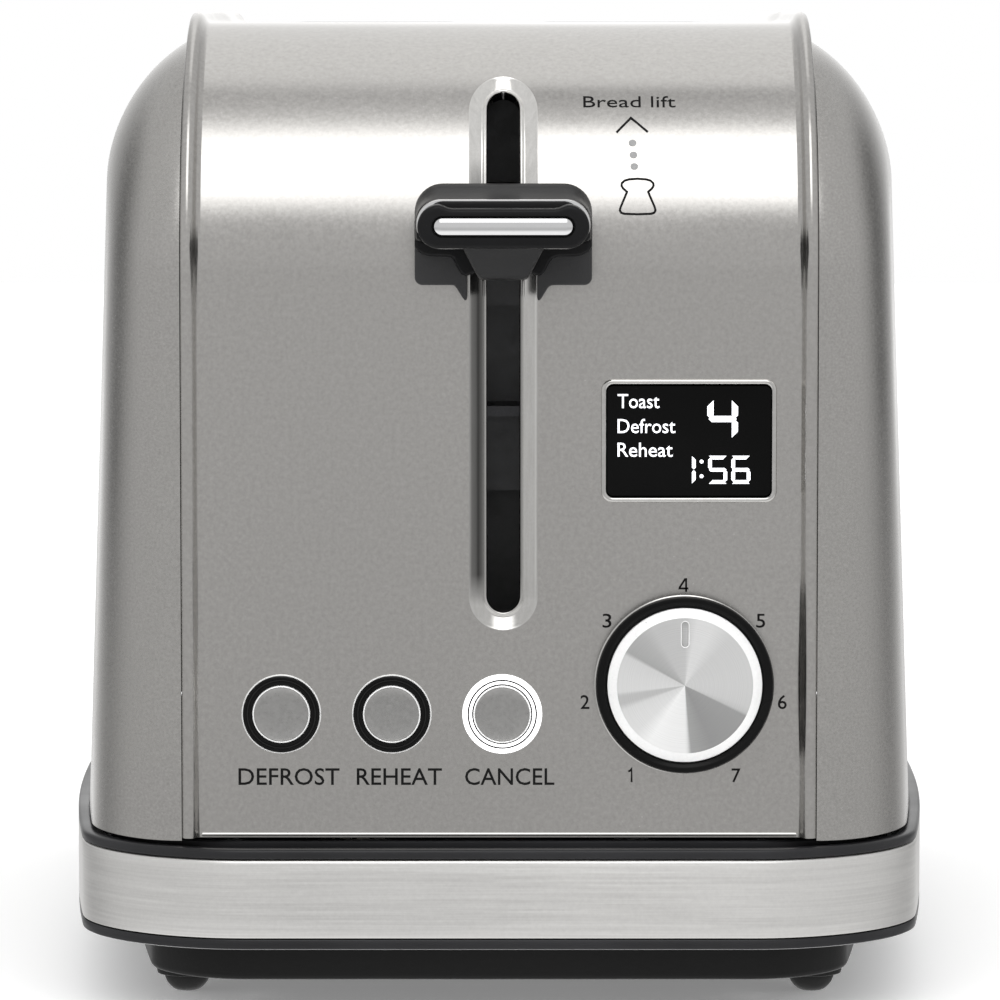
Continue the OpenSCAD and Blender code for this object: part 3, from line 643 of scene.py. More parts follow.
def build_slot_rim():
    """Sunken, bevelled rim of the lever slot with a rolled lip at its inner edge."""
    profile = [(0.0, 0.0), (0.12, 0.02), (0.3, 0.10), (0.55, 0.28), (0.9, 0.50), (2.35, 1.20),
        (2.55, 1.26), (2.72, 1.22), (2.9, 1.04), (3.1, 0.94), (3.3, 0.98), (3.45, 1.15),
        (3.53, 1.45), (3.55, 1.9), (3.55, 3.2)]
    rings = []
    for across, depth in profile:
        outline = stadium(RIM_Z0 + across, RIM_Z1 - across * 0.62, RIM_HALF - across)
        rings.append([wrap_point(x, z, depth) for x, z in outline])
    loft("slot_rim", rings, rim_steel_painted, "housing", ("slot_bezel",), cap=False,
        angle=60)


build_slot_rim()


# ---------------------------------------------------------------- side shells
SEAM_X = WRAP_HW + 0.2
SHELL_Z0 = node_box("side_shell_right")[0].z
SHELL_HX = 86.4
SHELL_TAPER, SHELL_BOW, SHELL_BOW_Y = 0.033, 5.2, PANEL_Y - 25
CORNER_FRONT, CORNER_TOP, SEAM_ANGLE_TOP = 26, 32, 27
SPINE_Y = 70
RISE = ARC_Z - SHELL_Z0
TURN = WRAP_R * math.pi / 2
PATH_END = 2 * RISE + 2 * TURN + 2 * ARC_Y


def normal_angle(s):
    """Direction of the side outline's normal at a station: 180 front, 90 top, 0 back."""
    if s < RISE:
        return 180.0
    if s < RISE + TURN:
        return 180 - math.degrees((s - RISE) / WRAP_R)
    if s < RISE + TURN + 2 * ARC_Y:
        return 90.0
    if s < PATH_END - RISE:
        return 90 - math.degrees((s - RISE - TURN - 2 * ARC_Y) / WRAP_R)
    return 0.0


def outline_point(s, d):
    a, r = math.radians(normal_angle(s)), WRAP_R - d
    if s < RISE:
        return -PANEL_Y + d, SHELL_Z0 + s
    if s < RISE + TURN:
        return -ARC_Y + r * math.cos(a), ARC_Z + r * math.sin(a)
    if s < RISE + TURN + 2 * ARC_Y:
        return -ARC_Y + s - RISE - TURN, TOP_Z - d
    if s < PATH_END - RISE:
        return ARC_Y + r * math.cos(a), ARC_Z + r * math.sin(a)
    return PANEL_Y - d, SHELL_Z0 + PATH_END - s


def flat_side_x(y, z):
    return SHELL_HX - SHELL_TAPER * (z - SHELL_Z0) - SHELL_BOW * (y / SHELL_BOW_Y) ** 2


def shell_point(s, t, w, skin):
    """Point of a shell: t runs round the corner, w from the corner to the bottom middle."""
    k = math.sin(math.radians(normal_angle(s))) ** 2
    a0 = SEAM_ANGLE_TOP * k
    depth = CORNER_FRONT + (CORNER_TOP - CORNER_FRONT) * k
    a = math.radians(a0 + (90 - a0) * t)
    y, z = outline_point(s, depth * (1 - math.cos(a)) + skin)
    y += ((2 * s / PATH_END - 1) * SPINE_Y - y) * w
    z += (SHELL_Z0 - z) * w
    across = 1 - (1 - math.sin(a)) / (1 - math.sin(math.radians(a0)))
    return SEAM_X + (flat_side_x(y, z) - skin - SEAM_X) * across, y, z


def build_shell(side, node):
    stations = []
    for start, length, n in ((0, RISE, 16), (RISE, TURN, 36), (RISE + TURN, 2 * ARC_Y, 40),
            (RISE + TURN + 2 * ARC_Y, TURN, 36), (PATH_END - RISE, RISE, 16)):
        stations += [start + length * i / n for i in range(n)]
    stations.append(PATH_END)
    rows = [(i / 26, 0.0) for i in range(27)] + [(1.0, i / 22) for i in range(1, 23)]
    rings = []
    for s in stations:
        outer = [shell_point(s, t, w, 0.0) for t, w in rows]
        inner = [shell_point(s, t, w, 1.0) for t, w in reversed(rows)]
        rings.append([(side * x, y, z) for x, y, z in outer + inner])
    loft(node + "_skin", rings, shell_steel, "housing", (node,), angle=50)


build_shell(-1, "side_shell_left")
build_shell(1, "side_shell_right")


# ---------------------------------------------------------------- base
def plan(inset, z, n=24, m=40):
    """Plan outline of the base, set in and at a height: a bowed rectangle, round corners."""
    hx, hy, r = HALF_W - PLAN_BOW - inset, HALF_L - inset, PLAN_R - inset
    raw = []
    for sx, sy, a in CORNERS:
        raw += arc(sx * (hx - r), sy * (hy - r), r, a, a + 90, n)
        if a in (90, 270):
            run = (hy - r) * (1 if a == 90 else -1)
            raw += [(sx * hx, run * (1 - 2 * i / m)) for i in range(1, m)]
        else:
            raw += [(sx * (hx - r) * (1 - 2 * i / 12), sy * hy) for i in range(1, 12)]
    return [(x * (1 + PLAN_BOW / hx * (1 - (y / hy) ** 2)), y, z) for x, y in raw]


def sweep_plan(name, section, material, replaced, closed=True):
    rings = [plan(inset, z) for inset, z in section]
    return loft(name, rings, material, "housing", replaced, cap=not closed, closed_v=closed,
        angle=40)


BAND_Z0, BAND_Z1 = band_low.z, band_high.z
FLANGE_Z = node_box("base_floor")[0].z
TRAY_HW = 51


def tray_hole():
    return slab_cutter(-TRAY_HW, TRAY_HW, 20, HALF_L + 6, FLANGE_Z + 2, FLANGE_Z + 9.6)


band = sweep_plan("base_band_skin", [(0.9, BAND_Z0), (0.35, BAND_Z0), (0.1, BAND_Z0 + 0.12),
    (0, BAND_Z0 + 0.4), (0, BAND_Z0 + 4), (0, BAND_Z1 - 4), (0, BAND_Z1 - 0.7),
    (0.08, BAND_Z1 - 0.35), (0.28, BAND_Z1 - 0.1), (0.6, BAND_Z1), (0.9, BAND_Z1)], band_steel,
    ("base_band",))
cut(band, [tray_hole()], 40)

LIP_Z = 34.1
tub = sweep_plan("base_tub_skin", [(3.5, FLANGE_Z), (0.5, FLANGE_Z), (0.1, FLANGE_Z + 0.2),
    (0, FLANGE_Z + 0.6), (0, FLANGE_Z + 1.7), (0.15, FLANGE_Z + 2), (1.0, FLANGE_Z + 2),
    (1.0, BAND_Z1 + 0.15), (0.3, BAND_Z1 + 0.15), (0.05, BAND_Z1 + 0.35), (0, BAND_Z1 + 0.7),
    (0, LIP_Z - 0.6), (0.15, LIP_Z - 0.22), (0.5, LIP_Z), (2.6, LIP_Z), (2.9, LIP_Z - 0.15),
    (3.0, LIP_Z - 0.5), (3.0, 30), (6.3, 30), (6.3, SHELL_Z0 - 0.4), (6.6, SHELL_Z0 - 0.1),
    (9.0, SHELL_Z0 - 0.1), (9.0, 29), (3.2, 29), (3.2, FLANGE_Z + 2)], base_plastic,
    ("base_tub", "base_floor"), closed=False)
cut(tub, [tray_hole()], 40)


feet_high = node_box("rubber_feet")[1]
FOOT_R, FOOT_TOP = 4.6, feet_high.z
PAN_Z, PAN_INSET = FOOT_TOP + 3.0, 12.4
SCREW_PLACES = [(x, y) for x in (-50, 50) for y in (-104, 0, 104)]
FOOT_X, FOOT_Y = feet_high.x - FOOT_R, feet_high.y - MID_Y - FOOT_R


def turned(name, profile, x, y, material, replaced=(), n=64):
    """Turned piece about an upright axis: profile is (radius, z) from the middle outwards."""
    rings = [[(px, py, z) for px, py in circle(x, y, r, n)] for r, z in profile]
    return loft(name, rings, material, "housing", replaced, cap=False, angle=50)


def build_pan():
    """Lower pan with a rounded bottom edge, cooling vents and a boss over each foot."""
    pan = sweep_plan("base_pan_skin", [(PAN_INSET + 4.0, PAN_Z), (PAN_INSET + 1.0, PAN_Z),
        (PAN_INSET + 0.4, PAN_Z + 0.15), (PAN_INSET + 0.1, PAN_Z + 0.5), (PAN_INSET, PAN_Z + 1.1),
        (PAN_INSET, FLANGE_Z + 0.1), (PAN_INSET + 2, FLANGE_Z + 0.1), (PAN_INSET + 2, PAN_Z + 2)],
        pan_plastic, ("base_pan",), closed=False)
    vents = []
    for i in range(-3, 4):
        for side in (-1, 1):
            vents.append(slab_cutter(side * 22 - 15, side * 22 + 15, i * 26 - 3, i * 26 + 3, PAN_Z
                - 1, PAN_Z + 4))
    for x, y in SCREW_PLACES:
        vents.append(slab_cutter(x - 1.6, x + 1.6, y - 1.6, y + 1.6, PAN_Z - 1, PAN_Z + 4))
    cut(pan, vents, 40)
    for i, (sx, sy) in enumerate(((-1, -1), (1, -1), (1, 1), (-1, 1))):
        x, y = sx * FOOT_X, sy * FOOT_Y
        boss = [(0, FOOT_TOP), (5.5, FOOT_TOP), (5.95, FOOT_TOP + 0.15), (6.1, FOOT_TOP + 0.6),
            (6.1, PAN_Z + 0.5), (0, PAN_Z + 0.5)]
        turned(f"foot_boss_{i + 1}", boss, x, y, pan_plastic)
        foot = [(0, 0.0), (2.0, 0.0), (2.7, 0.25), (3.5, 0.95), (4.1, 1.75), (4.5, 2.7),
            (FOOT_R, FOOT_TOP), (0, FOOT_TOP)]
        turned(f"rubber_foot_{i + 1}", foot, x, y, foot_rubber, ("rubber_feet",)
            if i == 0 else ())


def build_screws():
    """Screws of the pan: low domed heads with a cross recess."""
    low, high = node_box("base_screws")
    for i, (x, y) in enumerate(SCREW_PLACES):
        head = [(0, low.z), (1.5, low.z + 0.02), (2.3, low.z + 0.2), (2.8, low.z + 0.55),
            (3.0, low.z + 1.05), (3.0, low.z + 1.6), (1.5, low.z + 1.6), (1.5, high.z), (0, high.z)]
        screw = turned(f"base_screw_{i + 1}", head, x, y, plain_steel,
            ("base_screws",) if i == 0 else (), n=48)
        cut(screw, [slab_cutter(x - 1.5, x + 1.5, y - 0.3, y + 0.3, low.z - 1, low.z + 0.9),
            slab_cutter(x - 0.3, x + 0.3, y - 1.5, y + 1.5, low.z - 1, low.z + 0.9)], 40)


build_pan()
build_screws()


# ---------------------------------------------------------------- lever
_, LEVER_Z, INSERT_W, INSERT_H = face_of("lever_insert")
LEVER_Y0 = node_box("lever_insert")[0].y - MID_Y
PLATE_Y0, PLATE_Y1 = -PANEL_Y - 10, -PANEL_Y - 2
BAR_W, BAR_H = 32.5, 8.3


def bar_outline(inset, n=16):
    """Front outline of the handle's bar: an oval whose top dips between two humps."""
    w, h = BAR_W - 2 * inset, BAR_H - 2 * inset
    points = rounded_rect(0, 0, w, h, h / 2 - 0.01, n)
    top_run = [(w / 2 - h / 2 - (w - h) * i / 30, h / 2) for i in range(1, 30)]
    outline = points[:n + 1] + top_run + points[n + 1:]
    shaped = []
    for x, z in outline:
        dip = 0.75 * (1 - smoothstep((abs(x) - 9.8) / 2.6)) if z > 0 else 0.0
        shaped.append((x + LEVER_X, z - dip + LEVER_Z))
    return shaped


def lever_part(name, shapes, angle=30, material=handle_plastic, replaced=()):
    """Part of the lever from (y past its front, outline) pairs."""
    return loft(name, at_depths((LEVER_Y0 + y, shape) for y, shape in shapes), material, "lever",
        replaced, angle=angle)


def build_handle():
    # the bar, with a recess for the insert: its front face runs in to the insert's edge
    recess = []
    for depth, grow in ((0.3, 0.22), (1.1, 0.15), (1.1, -0.6)):
        shape = rounded_rect(LEVER_X, LEVER_Z, INSERT_W + 2 * grow, INSERT_H + 2 * grow,
            INSERT_H / 2 + grow - 0.01, 16)
        top = [(LEVER_X + (INSERT_W - INSERT_H) * (0.5 - i / 30), LEVER_Z + INSERT_H / 2 + grow)
            for i in range(1, 30)]
        shape = shape[:17] + top + shape[17:]
        recess.append((depth, shape))
    bar = [(y, bar_outline(inset)) for y, inset in ((0.3, 1.1), (0.32, 0.6), (0.5, 0.25),
        (0.85, 0.05), (1.3, 0.0), (9.3, 0.0))]
    lever_part("lever_bar", recess[::-1] + bar, 35, replaced=("lever_handle",))

    # hood that joins the bar to the wider plate and rises towards it
    def hood(w, top, bottom, r, n=10):
        half = w / 2
        pts = arc(half - r, top - r, r, 0, 90, n) + arc(-half + r, top - r, r, 90, 180, n)
        pts += arc(-half + 1, bottom + 1, 1, 180, 270, n)
        pts += arc(half - 1, bottom + 1, 1, 270, 360, n)
        return [(LEVER_X + x, LEVER_Z + z) for x, z in pts]

    steps = [(LEVER_Y0 + 6, 30.4, 3.0, -2.6, 2.6), (LEVER_Y0 + 8.0, 31.2, 3.35, -2.8, 2.9),
        (LEVER_Y0 + 8.15, 32.6, 4.35, -2.9, 3.4), (LEVER_Y0 + 8.35, 32.95, 4.6, -3, 3.6),
        (LEVER_Y0 + 8.75, 33.1, 4.72, -3, 3.7), (LEVER_Y0 + 10.5, 33.3, 5.15, -3.1, 4.2),
        (PLATE_Y0 - 3, 33.5, 5.95, -3.3, 4.8), (PLATE_Y0 - 0.8, 33.8, 7.0, -3.8, 5.2),
        (PLATE_Y0 + 0.4, 34.0, 7.5, -4.2, 5.4), (PLATE_Y0 + 2, 34.0, 7.6, -4.5, 5.4)]
    rings = at_depths((y, hood(w, top, bottom, r)) for y, w, top, bottom, r in steps)
    loft("lever_hood", rings, handle_plastic, "lever", angle=28)

    # chrome band behind the bar, a painted highlight standing in for the shine on its plastic edge:
    # a thin line over its top, wider on both shoulders
    def oval(w, h, rise, r, n=16):
        return [(LEVER_X + x, LEVER_Z + rise + z) for x, z in rounded_rect(0, 0, w, h, r, n)]

    painted_highlight_band = [(7.4, oval(31.6, 8.2, 0.1, 3.9)), (7.5, oval(32.8, 9.2, 0.2, 4.5)),
        (7.9, oval(33.1, 9.5, 0.2, 4.7)), (8.4, oval(33.1, 9.5, 0.2, 4.7))]
    lever_part("lever_painted_highlight", painted_highlight_band, 30, chrome)
    mask = [(6.9, oval(25.5, 6.0, 1.2, 2.2)), (7.1, oval(28.6, 7.5, 0.85, 3.0)),
        (7.6, oval(29.4, 8.0, 0.68, 3.3))]
    lever_part("lever_brow", mask)

    # wings of the plate near the panel, and the raised apron between them
    wing = [(6.5, 0.5), (6.5, -14.3), (6.65, -14.85), (7.0, -14.75), (7.35, -14.3), (8.4, -12.6),
        (8.75, -12.15), (9.3, -11.9), (10.2, -11.85)]
    wing += arc(15.5, -10.35, 1.5, -88, 0, 8) + [(17.0, 0.5)]
    apron = [(17.0, 1.0), (17.0, -4.4), (16.4, -5.3), (15.2, -6.0), (14.0, -6.25), (10.4, -6.35),
        (9.5, -6.7), (8.9, -7.3), (8.2, -8.7), (7.6, -9.6), (6.9, -10.2)]
    for side, word in ((-1, "left"), (1, "right")):
        for part, outline, y0, y1 in (("wing", wing, PLATE_Y0, PLATE_Y1),
                ("apron", apron + [(4.0, -9.0), (4.0, 1.0)], PLATE_Y0 - 1.6, PLATE_Y0 + 0.5)):
            shift = 0.45 if side < 0 else 0.0
            shape = [(LEVER_X + side * (x + shift * (x < 9)), LEVER_Z + z) for x, z in outline]
            # the wings take the lighter plastic, painted light on their faces; the apron keeps the
            # darker handle plastic
            piece = loft(f"lever_{part}_{word}", at_depths(((y0, shape), (y1, shape))), wing_painted_light_plastic
                if part == "wing" else handle_plastic, "lever")
            bevel(piece, 0.45 if part == "wing" else 0.6, 3, 50)

    # tongue under the bar, narrowing downwards
    rings = []
    for z, w, y0 in ((-3.6, 16.4, 3.0), (-4.2, 15.4, 3.6), (-5.2, 14.4, 4.4), (-7, 12.6, 5.6),
            (-8.8, 10.8, 6.8), (-9.8, 9.7, 7.5), (-10.3, 8.9, 8.4), (-10.45, 7.6, 9.6)):
        outline = [(LEVER_X + x, y) for x, y in [(w / 2, PLATE_Y0 + 2)]
            + arc(w / 2 - 1, LEVER_Y0 + y0 + 1, 1, 0, -90, 6)
            + arc(-w / 2 + 1, LEVER_Y0 + y0 + 1, 1, -90, -180, 6) + [(-w / 2, PLATE_Y0 + 2)]]
        rings.append([(x, y, LEVER_Z + z) for x, y in outline])
    loft("lever_tongue", rings, tongue_plastic, "lever", angle=40)


build_handle()


def build_insert():
    steps = [(1.5, 0.0), (0.95, 0.0)]
    steps += [(0.95 * (1 - math.sin(math.radians(a))), 1.7 * (1 - math.cos(math.radians(a))))
        for a in (8, 16, 24, 32, 40, 48, 56, 64, 72, 80)]
    rings = []
    for depth, inset in steps:
        w, h = INSERT_W - 2 * inset, INSERT_H - 2 * inset
        rings.append((depth, rounded_rect(LEVER_X, LEVER_Z, w, h, h / 2 - 0.01, 14)))
    lever_part("lever_insert_chrome", rings, 50, chrome, ("lever_insert",))


build_insert()


# ---------------------------------------------------------------- knob
FACE_Y = node_box("knob_cap")[0].y - MID_Y
# spun aluminium with a painted reflection sheen round its face
spun = spun_face_material((KNOB_X * MM, 0.0, KNOB_Z * MM))


def build_knob():
    face_r, back, hub_top = CAP_R - 1.8, 4.8, 4.2
    at = (KNOB_X, FACE_Y, KNOB_Z)
    profile = [(0, 0.30), (3, 0.27), (6, 0.19), (9, 0.09), (11.2, 0.02), (face_r - 0.12, 0),
        (face_r, 0.03), (face_r, 2), (CAP_R - 0.4, 2), (CAP_R - 0.4, hub_top), (0, hub_top)]
    cap = spin_y("knob_cap_spun", profile, at, spun, "knob", ("knob_cap",), n=192,
        angle=14)
    notch = arc(KNOB_X, KNOB_Z + 11.8, 0.7, 0, 180, 12) + arc(KNOB_X, KNOB_Z + 8.2, 0.7, 180, 360,
        12)
    cut(cap, [cutter(notch, FACE_Y - 1, FACE_Y + 0.7)], 14)
    # chamfer round the face in the near-white edge metal, which carries a painted highlight
    chamfer = [(face_r, 2), (face_r, 0.03), (face_r + 0.06, 0.04), (face_r + 0.14, 0.1),
        (CAP_R - 0.15, 0.85), (CAP_R, 1.0), (CAP_R, hub_top), (CAP_R - 0.4, hub_top)]
    spin_y("knob_chamfer", chamfer, at, cut_edge_painted_highlight, "knob", n=192, angle=24)
    # thin raised lip round the pointer notch
    lip = []
    for r, y in ((0.66, 0.35), (0.68, -0.02), (0.72, -0.06), (0.80, -0.06), (0.84, 0.0),
            (0.84, 0.2)):
        lip.append((FACE_Y + y, arc(KNOB_X, KNOB_Z + 11.8, r, 0, 180, 12)
            + arc(KNOB_X, KNOB_Z + 8.2, r, 180, 360, 12)))
    loft("knob_notch_lip", at_depths(lip), cut_edge_painted_highlight, "knob", cap=False, angle=50)

    rim = [(CAP_R + 0.02, hub_top), (CAP_R + 0.05, 1.6), (CAP_R + 0.25, 1.25), (CAP_R + 0.55, 1.1),
        (CAP_R + 0.9, 0.75), (RING_R - 0.7, 0.62), (RING_R - 0.25, 0.8), (RING_R, 1.4),
        (RING_R - 0.4, back - 0.3), (RING_R - 0.6, back), (3, back), (3, hub_top)]
    spin_y("knob_skirt", rim, at, skirt_plastic, "knob", ("knob_ring",), n=192,
        angle=40)
    seat = [(RING_R - 1.5, -0.02), (RING_R - 1.5, -0.3), (RING_R + 0.02, -0.3),
        (RING_R + 0.18, -0.2), (RING_R + 0.22, -0.02)]
    spin_y("knob_seat", seat, (KNOB_X, -PANEL_Y, KNOB_Z - 0.35), bright_steel, "housing",
        n=160, angle=40)


build_knob()


# ---------------------------------------------------------------- buttons
def build_button(name, x, z, r, lit):
    front, panel = (x, -PANEL_Y - 1.0, z), (x, -PANEL_Y, z)
    profile = [(0, 0.16), (r * 0.6, 0.12), (r - 0.62, 0.04), (r - 0.5, 0), (r - 0.3, 0.02),
        (r - 0.08, 0.16), (r, 0.4), (r, 3), (2.5, 3), (2.5, 10.7), (0, 10.7)]
    spin_y(name + "_cap_face", profile, front, button_satin, name + "_button",
        (name + "_cap",), angle=20)
    edge = [(r - 0.28, 0.3), (r - 0.26, -0.03), (r - 0.2, -0.07), (r - 0.08, -0.03),
        (r + 0.01, 0.15), (r + 0.02, 0.8)]
    spin_y(name + "_cap_edge", edge, front, cut_edge_painted_highlight, name + "_button")
    glow, slot = (ring_light, "lit_ring") if lit else (skirt_plastic, "knob_plastic")
    # inner ring, fine groove, outer ring and a thin bright seat on the panel
    inner, split, outer, gap, sunk = r + (0.3 if lit else 0.08), 6.62, 7.5, 0.16, 3
    ring = [(inner, sunk), (inner, -0.5), (inner + 0.1, -0.66), (inner + 0.2, -0.7),
        (split - gap - 0.1, -0.75), (split - gap, -0.65), (split - gap, sunk)]
    spin_y(name + "_inner_ring", ring, panel, glow, "housing")
    groove = [(split - gap, sunk), (split - gap, -0.6), (split + gap, -0.6), (split + gap, sunk)]
    spin_y(name + "_groove", groove, panel, pan_plastic, "housing")
    if lit:
        well = [(r + 0.04, sunk), (r + 0.04, -0.4), (inner, -0.4), (inner, sunk)]
        spin_y(name + "_well", well, panel, pan_plastic, "housing")
    collar = [(split + gap, sunk), (split + gap, -0.7), (split + gap + 0.1, -0.82),
        (outer - 0.3, -0.85), (outer - 0.08, -0.72), (outer, -0.4), (outer, -0.02), (6.95, -0.02),
        (6.95, sunk)]
    spin_y(name + "_collar", collar, panel, glow, "housing", (name + "_ring",), angle=35)
    seat = [(outer, 0), (outer, -0.5), (outer + 0.1, -0.52), (outer + 0.22, -0.4),
        (outer + 0.25, 0)]
    spin_y(name + "_seat", seat, panel, ring_light if lit else cut_edge_painted_highlight, "housing")


for name, (x, z, r) in BUTTONS.items():
    build_button(name, x, z, r, name == "cancel")


# ---------------------------------------------------------------- moving insides
def build_spring():
    """Lift spring: a coil of wire standing where the CAD spring stands."""
    low, high = node_box("lift_spring")
    wire, turns, sides, around = 0.5, 14, 8, 24
    cx, cy = (low.x + high.x) / 2, (low.y + high.y) / 2 - MID_Y
    coil = (high.x - low.x) / 2 - 0.6
    z0, z1 = low.z + wire, high.z - wire
    rings = []
    for i in range(turns * around + 1):
        a, z = 2 * math.pi * i / around, z0 + (z1 - z0) * i / (turns * around)
        rings.append([(cx + across * math.cos(a), cy + across * math.sin(a), z + rise) for across,
            rise in circle(coil, 0, wire, sides)])
    spring = loft("lift_spring_coil", rings, dark_iron, None, ("lift_spring",),
        angle=50)
    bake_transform(spring)


def build_winding():
    """Copper winding of the holding magnet, each layer a low ridge."""
    low, high = node_box("magnet_coil")
    cx, cy = (low.x + high.x) / 2, (low.y + high.y) / 2 - MID_Y
    w, h, pitch, margin = high.x - low.x, high.y - low.y, 0.5, 0.6
    count = int((high.z - low.z - 2 * margin) / pitch)
    rings = []
    for i in range(2 * count + 1):
        inset = margin + (0.12 if i % 2 else 0.0)
        rings.append([(x, y, low.z + margin + i * pitch / 2) for x,
            y in rounded_rect(cx, cy, w - 2 * inset, h - 2 * inset, 1.2, 6)])
    loft("magnet_winding", rings, copper, "housing", ("magnet_coil",), angle=70)


build_spring()
build_winding()


# ---------------------------------------------------------------- display
def build_display():
    front = -PANEL_Y - 0.7
    steps = [(1.6, 1.05), (0.45, 1.05), (0.2, 0.95), (0.04, 0.75), (0.0, 0.5), (0.08, 0.22),
        (0.3, 0.04), (0.69, 0.0), (1.4, 0.2)]
    rings = []
    for depth, inset in steps:
        shape = rounded_rect(DISPLAY_X, DISPLAY_Z, BEZEL_W - 2 * inset, BEZEL_H - 2 * inset, 2.2
            - inset * 0.8, 10)
        rings.append((front + depth, shape))
    loft("display_rim", at_depths(rings), bright_steel, "housing",
        ("display_bezel",), cap=False, angle=50)


build_display()


# ---------------------------------------------------------------- printed marks
PRINT_FRONT, PRINT_BACK = -0.05, 0.05
GLASS_Y = node_box("display_window")[0].y - MID_Y


def on_glass(x, z, depth):
    return (x, GLASS_Y + depth, z)


def mark(name, verts, faces, material):
    """Thin mark from a flat shape, lit ones on the glass and printed ones on the panel.

    verts are (x, z, front or back)."""
    place = on_glass if material == segment_light else wrap_point
    points = [place(x, z, PRINT_BACK if back else PRINT_FRONT) for x, z, back in verts]
    return new_piece(name, points, faces, material, "housing", angle=60)


def outline_mark(name, outline, material):
    """Filled mark with a closed outline of (x, z) points."""
    n = len(outline)
    verts = [(x, z, back) for back in (0, 1) for x, z in outline]
    faces = [tuple(range(n)), tuple(range(n, 2 * n))]
    faces += [(i, (i + 1) % n, n + (i + 1) % n, n + i) for i in range(n)]
    return mark(name, verts, faces, material)


def line_mark(name, path, width, closed=False):
    """Printed line of even width drawn along (x, z) points."""
    count = len(path)
    verts = []
    for i, (x, z) in enumerate(path):
        before = path[i - 1] if closed or i else path[i]
        after = path[(i + 1) % count] if closed or i < count - 1 else path[i]
        one = Vector((x - before[0], z - before[1])).normalized()
        two = Vector((after[0] - x, after[1] - z)).normalized()
        along = (one + two).normalized()
        reach = width / 2 / max(along.dot(two if two.length else one), 0.5)
        dx, dz = -along.y * reach, along.x * reach
        verts += [(x + dx, z + dz, 0), (x - dx, z - dz, 0), (x - dx, z - dz, 1),
            (x + dx, z + dz, 1)]
    faces = []
    for i in range(count if closed else count - 1):
        a, b = 4 * i, 4 * ((i + 1) % count)
        faces += [(a + k, a + (k + 1) % 4, b + (k + 1) % 4, b + k) for k in range(4)]
    if not closed:
        faces += [(0, 1, 2, 3), tuple(range(4 * count - 4, 4 * count))]
    return mark(name, verts, faces, print_ink)


CAPITAL = 0.682          # height of a capital letter of the built-in font at size 1


def text_mark(name, text, x, z, width, height, weight=0.0, material=print_ink):
    """Lettering centred on (x, z): width over all, height of its capitals."""
    curve = bpy.data.curves.new(name, "FONT")
    curve.body, curve.extrude, curve.resolution_u, curve.offset = text, 0.01, 3, weight
    source = new_object(name, curve)
    graph = bpy.context.evaluated_depsgraph_get()
    flat = bpy.data.meshes.new_from_object(source.evaluated_get(graph))
    left = min(v.co.x for v in flat.vertices)
    right = max(v.co.x for v in flat.vertices)
    verts = [(x + ((v.co.x - left) / (right - left) - 0.5) * width, z
        + (v.co.y / CAPITAL - 0.5) * height, v.co.z < 0) for v in flat.vertices]
    faces = [tuple(p.vertices) for p in flat.polygons]
    bpy.data.objects.remove(source)
    bpy.data.curves.remove(curve)
    bpy.data.meshes.remove(flat)
    return mark(name, verts, faces, material)


def build_panel_marks():
    low_text = BUTTONS["defrost"][1] - 12.3
    for label, width in (("defrost", 19.7), ("reheat", 16.6), ("cancel", 17.4)):
        text_mark("print_" + label, label.upper(), BUTTONS[label][0] + 1.45, low_text, width, 3.2,
            0.006)
    for i in range(7):
        turn = math.radians(-150 + 50 * i)
        reach = 20.5 if i in (0, 6) else 19.5
        x, z = KNOB_X - 0.1 + reach * math.sin(turn), KNOB_Z - 0.4 + reach * math.cos(turn)
        if i == 0:
            flag = [(x - 0.5, z + 0.75), (x - 0.1, z + 0.95), (x + 0.15, z + 1.32),
                (x + 0.15, z - 1.32)]
            line_mark("print_step_1", flag, 0.38)
        elif i == 3:
            four = [(x + 0.86, z - 0.66), (x - 0.86, z - 0.66), (x - 0.8, z - 0.42),
                (x + 0.22, z + 1.16), (x + 0.42, z + 1.16), (x + 0.42, z - 1.32)]
            line_mark("print_step_4", four, 0.38)
        else:
            text_mark(f"print_step_{i + 1}", str(i + 1), x, z, 1.75, 2.65, 0.006)
    text_mark("print_lift", "Bread lift", 25.4, 178.6, 18.0, 2.1)
    line_mark("print_chevron", [(22.8, 172.7), (25.65, 175.5), (28.9, 172.8)], 0.42)
    for i, z in enumerate((170.7, 168.4, 166.2)):
        dot = [(25.9 + 0.15 * i + 0.76 * math.cos(math.radians(a)), z
            + 0.64 * math.sin(math.radians(a))) for a in range(0, 360, 15)]
        outline_mark(f"print_dot_{i + 1}", dot, print_grey)
    half = [(0.0, 163.85), (1.6, 163.75), (2.5, 163.5), (3.05, 163.0), (3.1, 162.5), (2.8, 162.0),
        (2.05, 161.35), (2.4, 160.5), (3.3, 158.4), (3.45, 157.8), (3.2, 157.35), (2.6, 157.15),
        (0.0, 157.05)]
    slice_path = [(26.8 + x, z) for x, z in half]
    slice_path += [(26.8 - x, z) for x, z in reversed(half[1:-1])]
    line_mark("print_slice", slice_path, 0.42, closed=True)


def bar_shape(x, z, length, width, upright, starts, ends):
    """One lit bar of a figure; each end is cut on both corners, or slanted to one side."""
    cut_by = {"both": (0.5, 0.5), "left": (1.0, 0.0), "right": (0.0, 1.0)}
    (a, b), (c, d) = cut_by[starts], cut_by[ends]
    along, across = length / 2, width / 2
    spots = [(-along + b * width, -across), (along - d * width, -across)]
    if ends == "both":
        spots.append((along, 0.0))
    spots.append((along - c * width, across))
    spots.append((-along + a * width, across))
    if starts == "both":
        spots.append((-along, 0.0))
    return [(x - v, z + u) if upright else (x + u, z + v) for u, v in spots]


# lit bars of each figure, by place: top, upper left, upper right, middle, lower left,
# lower right, bottom
FIGURES = {"1": "cf", "4": "bcdf", "5": "abdfg", "6": "abdefg"}


